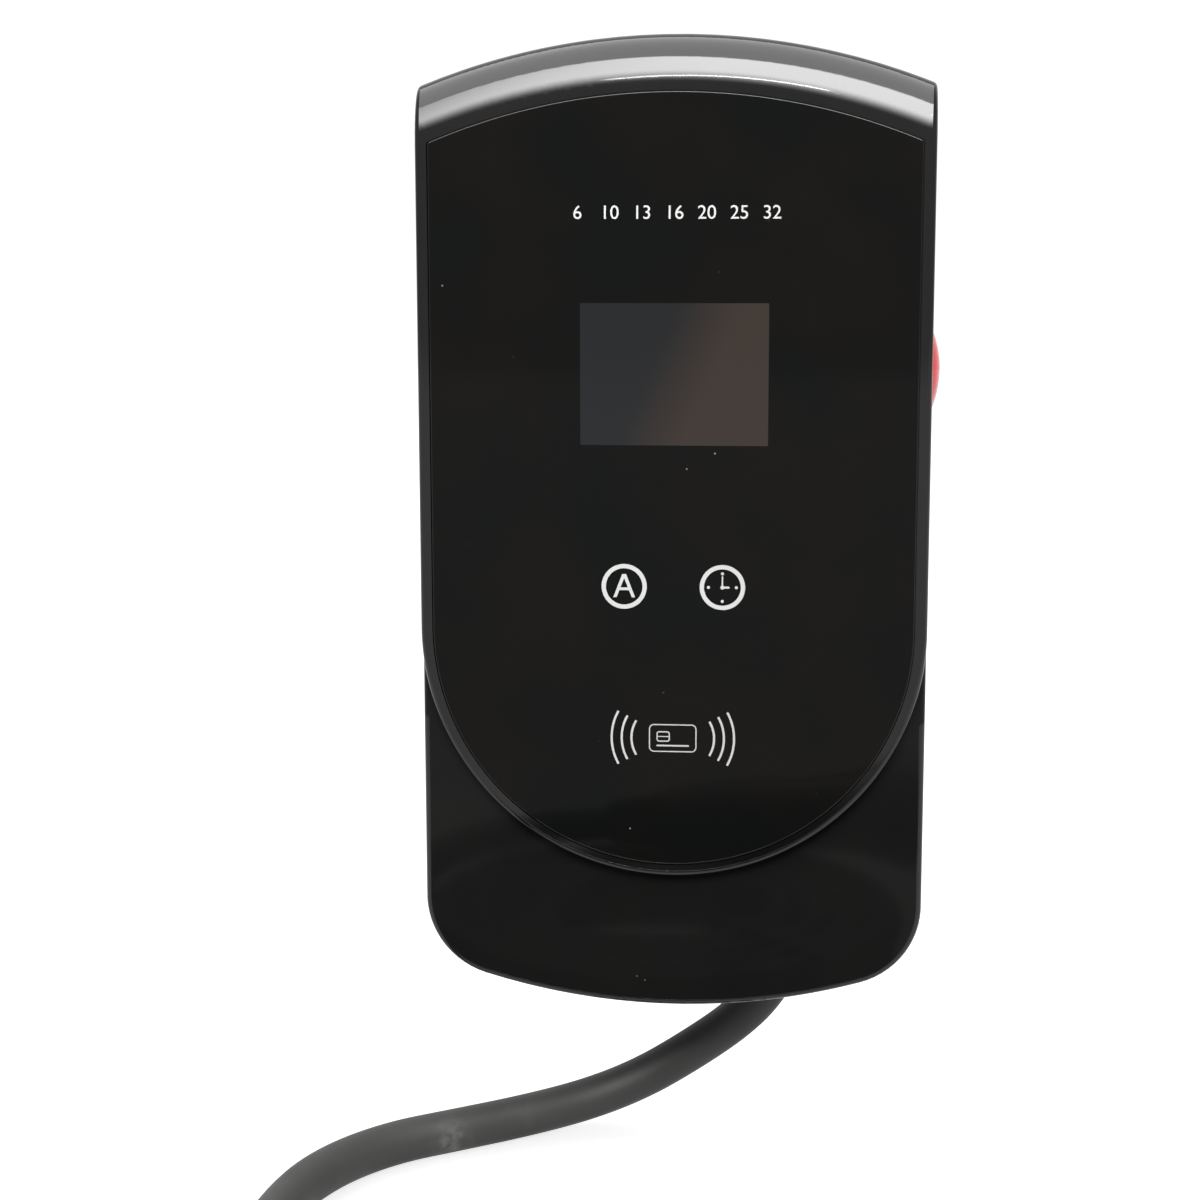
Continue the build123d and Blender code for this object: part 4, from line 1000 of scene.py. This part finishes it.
@dataclass
class BendRelief:
    """The connector's bend relief: a tapered rubber sleeve with grooves, round the cable, in millimetres."""

    origin: Point = (-53.0, -445.0, -199.927)
    tilt: float = math.atan(5.0 / 95.0)
    length: float = 30.0
    grip: float = 10.0
    small: float = 11.0
    large: float = 15.0
    collar: float = 13.0
    bore: float = 8.6
    grooves: int = 5
    groove_depth: float = 1.3
    steps: int = 161
    around: int = 64

    def profile(self) -> np.ndarray:
        """Distance along the axis and radius, round the sleeve's section: a taper with cosine grooves.

        Returns:
            The section's points.
        """
        along = np.linspace(0.0, self.length, self.steps)
        wave = 0.5 - 0.5 * np.cos(math.tau * self.grooves * along / self.length)
        taper = self.small + (self.large - self.small) * along / self.length
        fade = np.clip(2.0 - 2.0 * along / self.length, 0.0, 1.0)
        outer = np.stack([along, taper - self.groove_depth * wave**3 * fade], axis=1)
        end = self.length + self.grip
        rest = np.array([(self.length, self.collar), (end, self.collar), (end, self.bore), (0.0, self.bore)])
        return np.concatenate([outer, rest])

    def build(self) -> bpy.types.Object:
        """Turns the section about the connector's axis.

        Returns:
            The sleeve.
        """
        section = self.profile()
        turn = np.linspace(0.0, math.tau, self.around, endpoint=False)[:, None]
        along = np.broadcast_to(section[:, 0], (self.around, len(section)))
        side = section[:, 1] * np.cos(turn)
        up = section[:, 1] * np.sin(turn)
        x = self.origin[0] + along * math.cos(self.tilt) - up * math.sin(self.tilt)
        z = self.origin[2] + along * math.sin(self.tilt) + up * math.cos(self.tilt)
        points = np.stack([x, self.origin[1] + side, z], axis=2) * MM
        rubber = points, tube_faces(self.around, len(section), True)
        sleeve = piece_from("bend_relief", rubber, SOFT_RUBBER)
        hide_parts("connector_boot")
        return sleeve


@dataclass
class EdgeRounds:
    """The rounded front edges of the apron, the cover's bowl and the panel, as finely divided strips on them.

    Sizes are in millimetres, and lap is in degrees.
    """

    radius: float = 2.0
    panel_radius: float = 0.4
    proud: float = 0.012
    lap: float = 8.0
    sink: float = 0.25
    sink_steps: float = 4.0
    inner_share: float = 0.5
    around: int = 24
    bottom_radius: float = 252.0
    corner: float = 32.0
    arch_radius: float = 235.0
    panel_corner: float = 1.5
    apron_start: float = 25.0
    bowl_start: float = 20.0

    def sweep(self, name: str, path: np.ndarray, outward: np.ndarray, front: float, radius: float,
              finish: Finish, slot: str) -> None:
        """Carries a quarter ring along an outline: points at the edge's radius, from the side to the front.

        An outline that ends where it starts is closed, and the ends of an open one sink into their moulding.

        Args:
            name: The strip's name.
            path: The outline's points, as X and Z.
            outward: The outline's outward direction at each point.
            front: The front face, as Y.
            radius: The edge's radius.
            finish: Its finish.
            slot: Not used.
        """
        closed = bool(np.allclose(path[0], path[-1]))
        if closed:
            path, outward = path[:-1], outward[:-1]
        turn = np.radians(np.linspace(-self.lap, 90.0 + self.lap, self.around))
        outer = np.stack([np.cos(turn), np.sin(turn)], axis=1)
        ring = np.concatenate([outer, self.inner_share * outer[::-1]])
        place = np.arange(len(path))
        from_end = np.minimum(place, place[::-1])
        sunk = 0.0 if closed else self.sink * np.clip(1.0 - from_end / self.sink_steps, 0.0, 1.0)
        grow = np.broadcast_to(radius + self.proud - sunk, len(path))
        section = ring[None, :, :] * grow[:, None, None]
        flat = (path - radius * outward)[:, None, :] + outward[:, None, :] * section[..., :1]
        points = np.stack([flat[..., 0], front + radius - section[..., 1], flat[..., 1]], axis=2) * MM
        piece_from(name, (points, tube_faces(len(path), len(ring), closed)), finish, smooth=True)

    def outline(self, runs: Sequence[Tuple[np.ndarray, np.ndarray]]) -> Tuple[np.ndarray, np.ndarray]:
        """Joins runs of points and outward directions on the right side, and adds their mirror image.

        Args:
            runs: The runs in order, each starting where the one before it ends.

        Returns:
            The points and the outward directions.
        """
        halves = (np.concatenate([run[i][:-1] for run in runs] + [runs[-1][i][-1:]]) for i in (0, 1))
        points, outward = (np.concatenate([half, half[-2::-1] * (-1.0, 1.0)]) for half in halves)
        return points, outward

    def straight(self, x: float, start: float, end: float, count: int) -> Tuple[np.ndarray, np.ndarray]:
        """A straight run down the right side, with its outward direction."""
        return np.linspace((x, start), (x, end), count), np.tile((1.0, 0.0), (count, 1))

    def bent(self, centre: Flat, radius: float, start: float, end: float, count: int
             ) -> Tuple[np.ndarray, np.ndarray]:
        """A round run about a centre, with its outward direction."""
        return arc(centre, radius, start, end, count), arc((0.0, 0.0), 1.0, start, end, count)

    def tangent_corner(self, half: float, height: float, large: float, small: float, side: float
                       ) -> Tuple[Flat, float]:
        """A small round between a straight side and a large arc about the middle line.

        Args:
            half: The side's distance from the middle line.
            height: The height of the large arc's centre.
            large: The large arc's radius.
            small: The small round's radius.
            side: 1 for a corner above the centre, -1 for one below it.

        Returns:
            The small round's centre, and the angle in degrees at which it meets the large arc.
        """
        inner = half - small
        rise = side * math.sqrt((large - small) ** 2 - inner**2)
        return (inner, height + rise), math.degrees(math.atan2(rise, inner))

    def build(self) -> None:
        """Makes the three strips, from the places of the nodes that carry them."""
        names = ("front_housing", "upper_cover", "touch_panel")
        housing, cover, panel = (np.array(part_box(name)) / MM for name in names)
        half = cover[1, 0]
        bowl = cover[0, 2] + half
        belly = housing[0, 2] + self.bottom_radius
        corner, meet = self.tangent_corner(half, belly, self.bottom_radius, self.corner, -1.0)
        apron = self.outline([
            self.straight(half, bowl - self.apron_start, corner[1], 30),
            self.bent(corner, self.corner, 0.0, meet, 60),
            self.bent((0.0, belly), self.bottom_radius, meet, -90.0, 90),
        ])
        self.sweep("apron_edge", *apron, housing[0, 1], self.radius, GLOSS_COVER, "gloss_black")
        rim = self.outline([
            self.straight(half, bowl + self.bowl_start, bowl, 20),
            self.bent((0.0, bowl), half, 0.0, -90.0, 140),
        ])
        self.sweep("cover_edge", *rim, cover[0, 1], self.radius, GLOSS_COVER, "gloss_black")
        half = panel[1, 0]
        arch = panel[1, 2] - self.arch_radius
        corner, meet = self.tangent_corner(half, arch, self.arch_radius, self.panel_corner, 1.0)
        edge = self.outline([
            self.bent((0.0, arch), self.arch_radius, 90.0, meet, 60),
            self.bent(corner, self.panel_corner, meet, 0.0, 16),
            self.straight(half, corner[1], bowl, 30),
            self.bent((0.0, bowl), half, 0.0, -90.0, 140),
        ])
        # The panel's strip takes the lighter finish whose tint paints a highlight along the edge
        self.sweep("panel_edge", *edge, panel[0, 1], self.panel_radius, PANEL_EDGE_PAINTED_HIGHLIGHT, "panel_black")


@dataclass
class Station:
    """The CAD nodes, grouped by finish, and those of them that are on the cable."""

    nodes_in: Sequence[Tuple[Finish, Sequence[str]]] = (
        (GLOSS_COVER, ("upper_cover",)),
        (GLOSS_APRON, ("front_housing",)),
        (PANEL_WITH_PAINTED_REFLECTION, ("touch_panel",)),
        (MATT_REAR, ("rear_housing",)),
        (POWDER_COAT, ("wall_bracket",)),
        (ZINC, ("housing_screws", "cover_screws", "front_board_screws", "board_screws", "bracket_screws",
                "connector_screws")),
        (SOFT_RUBBER, ("housing_gasket", "stop_seal", "output_gland_seal", "supply_gland_seal",
                       "connector_boot")),
        (MATT_NYLON, ("stop_collar", "stop_nut", "output_gland_body", "output_gland_locknut",
                      "output_gland_nut", "supply_gland_body", "supply_gland_locknut", "supply_gland_nut",
                      "connector_carrier")),
        (BOARD_GREEN, ("front_board", "main_board")),
        (RELAY_CASE, ("display_module", "relays", "power_supply")),
        (ANTENNA_FILM, ("reader_antenna",)),
        (RIBBON_GREY, ("ribbon_cable",)),
        (BRASS, ("board_standoffs",)),
        (CAN, ("capacitors",)),
        (TERMINAL_GREY, ("supply_terminals", "output_terminals")),
        (SENSOR_BLUE, ("residual_sensor",)),
        (CORE_BROWN, ("output_conductors",)),
        (STOP_RED, ("stop_head",)),
        (STEM_GREY, ("stop_plunger",)),
        (SPRING_STEEL, ("stop_spring",)),
        (BLOCK_GREY, ("stop_contacts",)),
        (JACKET, ("charging_cable", "cable_coil", "cable_tail")),
        (STRAP, ("coil_tie",)),
        (GRIP_SHELL, ("connector_upper_shell", "connector_lower_shell")),
        (SILVER, ("connector_contacts",)),
    )
    on_cord: Sequence[str] = ("coil_tie", "connector_upper_shell", "connector_lower_shell",
                              "connector_carrier", "connector_contacts", "connector_screws")

    def dress(self) -> None:
        """Gives each CAD node its finish."""
        for finish, names in self.nodes_in:
            for name in names:
                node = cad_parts[name]
                node.data.materials.clear()
                node.data.materials.append(finish.material())
                log.info("node %s in %s", name, finish.name)


@dataclass(frozen=True)
class Lamp:
    """One soft rectangular light, dimmer towards its edges.

    A fade is an axis of the light's face, the places of its dim edge and of its full light, and the light
    that is left at the edge.
    """

    name: str
    place: Point
    turn: Point
    size: Flat
    radiance: float
    fades: Sequence[Tuple[Axis, float, float, float]] = ()

    def shade(self, data: bpy.types.Light) -> None:
        """Dims the light towards an edge, once for each fade.

        Args:
            data: The light.
        """
        graph = Graph(data)
        shader = next(node for node in graph.nodes if node.type == "EMISSION")
        at = graph.split(graph.add("NewGeometry").outputs["Parametric"])
        strength = 1.0
        for axis, edge, full, least in self.fades:
            fade = graph.mapped(at[axis.name], (least, 1.0), given=(edge, full), smooth=True)
            strength = graph.compute("MULTIPLY", fade, strength)
        graph.join(shader, Strength=strength)

    def build(self) -> bpy.types.Object:
        """Makes the light, with the power that gives its face the wanted radiance.

        Returns:
            The light.
        """
        data = bpy.data.lights.new(self.name, "AREA")
        data.shape = "RECTANGLE"
        data.size, data.size_y = self.size
        data.energy = math.pi * self.size[0] * self.size[1] * self.radiance
        if self.fades:
            self.shade(data)
        lamp = bpy.data.objects.new(self.name, data)
        bpy.context.scene.collection.objects.link(lamp)
        lamp.location = self.place
        lamp.rotation_euler = tuple(math.radians(angle) for angle in self.turn)
        return lamp


@dataclass
class Studio:
    """Pale floor, white behind the station, a large soft light above the camera, a tube and one overhead.

    The floor's glow grows between two places along Y, and the sky's light between two directions' Y.
    """

    floor_height: float = -0.2515
    floor_size: float = 5.0
    floor_points: int = 9
    floor_colour: Colour = (0.8, 0.8, 0.8)
    floor_clouding: float = 0.98
    glow: Flat = (0.35, 0.75)
    glow_from_to: Flat = (-0.9, -0.3)
    sky: Flat = (0.54, 1.1)
    sky_from_to: Flat = (-0.1, 0.5)
    lamps: Sequence[Lamp] = (
        Lamp("front_light", (-0.12, -1.13, 0.89), (90.0, 0.0, 0.0), (1.56, 0.94), 22.0,
             ((Axis.X, 0.0, 0.62, 0.42), (Axis.Y, 0.0, 0.32, 0.03), (Axis.Y, 1.0, 0.93, 0.5))),
        Lamp("tube_light", (0.0, -1.12, 0.54), (90.0, -11.0, 0.0), (0.29, 0.012), 85.0),
        Lamp("top_light", (-0.1, -0.34, 1.37), (0.0, 0.0, 0.0), (1.7, 1.58), 4.4),
    )

    def paper(self) -> bpy.types.Material:
        """Makes the floor's paper, which glows more behind the station than in front of it.

        Returns:
            The material.
        """
        surface = Surface("floor_paper")
        tone = tuple(self.floor_clouding * c for c in self.floor_colour)
        clouds = surface.noise(scale=6.0, detail=3.0)
        colour = surface.ramp(clouds, [(0.3, self.floor_colour), (0.7, tone)])
        roughness = surface.mapped(surface.noise(scale=40.0, detail=2.0), (0.85, 0.95))
        glow = surface.mapped(surface.split(surface.place)["Y"], self.glow, self.glow_from_to)
        surface.set(Base_Color=colour, Roughness=roughness, Specular_IOR_Level=0.1, Emission_Color=WHITE,
                    Emission_Strength=glow)
        return surface.material

    def floor(self) -> bpy.types.Object:
        """Makes the floor: a flat square grid of paper.

        Returns:
            The floor.
        """
        span = np.linspace(-self.floor_size, self.floor_size, self.floor_points)
        x, y = np.meshgrid(span, span, indexing="ij")
        points = np.stack([x, y, np.full_like(x, self.floor_height)], axis=2)
        faces = grid_faces(self.floor_points, self.floor_points, False, False)
        mesh = bpy.data.meshes.new("floor")
        mesh.from_pydata(points.reshape(-1, 3), [], faces.tolist())
        floor = bpy.data.objects.new("floor", mesh)
        bpy.context.scene.collection.objects.link(floor)
        mesh.materials.append(self.paper())
        return floor

    def surroundings(self) -> None:
        """Makes the world: white behind the station and pale grey in front of it."""
        world = bpy.data.worlds.new("surroundings")
        bpy.context.scene.world = world
        graph = Graph(world)
        graph.nodes.clear()
        depth = graph.split(graph.add("TexCoord").outputs["Generated"])["Y"]
        strength = graph.mapped(depth, self.sky, self.sky_from_to)
        shader = graph.add("Background", Color=WHITE, Strength=strength)
        graph.add("OutputWorld", Surface=shader.outputs["Background"])

    def build(self) -> None:
        """Makes the whole studio, with the floor left out of the lamps' light."""
        floor = self.floor()
        self.surroundings()
        lit = bpy.data.collections.new("lamp_receivers")
        lit.objects.link(floor)
        for lamp in self.lamps:
            lamp.build().light_linking.receiver_collection = lit
        lit.collection_objects[0].light_linking.link_state = "EXCLUDE"
        settings = bpy.context.scene.view_settings
        settings.view_transform = "Standard"
        settings.look = "None"
        log.info("studio ready")


def main() -> None:
    """Builds the scene in order: camera, cable, CAD nodes, window, prints, spring, edges and studio."""
    logging.basicConfig(level=logging.INFO, format="%(name)s: %(message)s")
    Viewpoint().build()
    cable = ChargingCord()
    cord = cable.build()
    station = Station()
    station.dress()
    sleeve = BendRelief().build()
    DisplayWindow().build()
    PanelPrint().build()
    ReturnSpring().build()
    EdgeRounds().build()
    Studio().build()


if __name__ == "__main__":
    main()
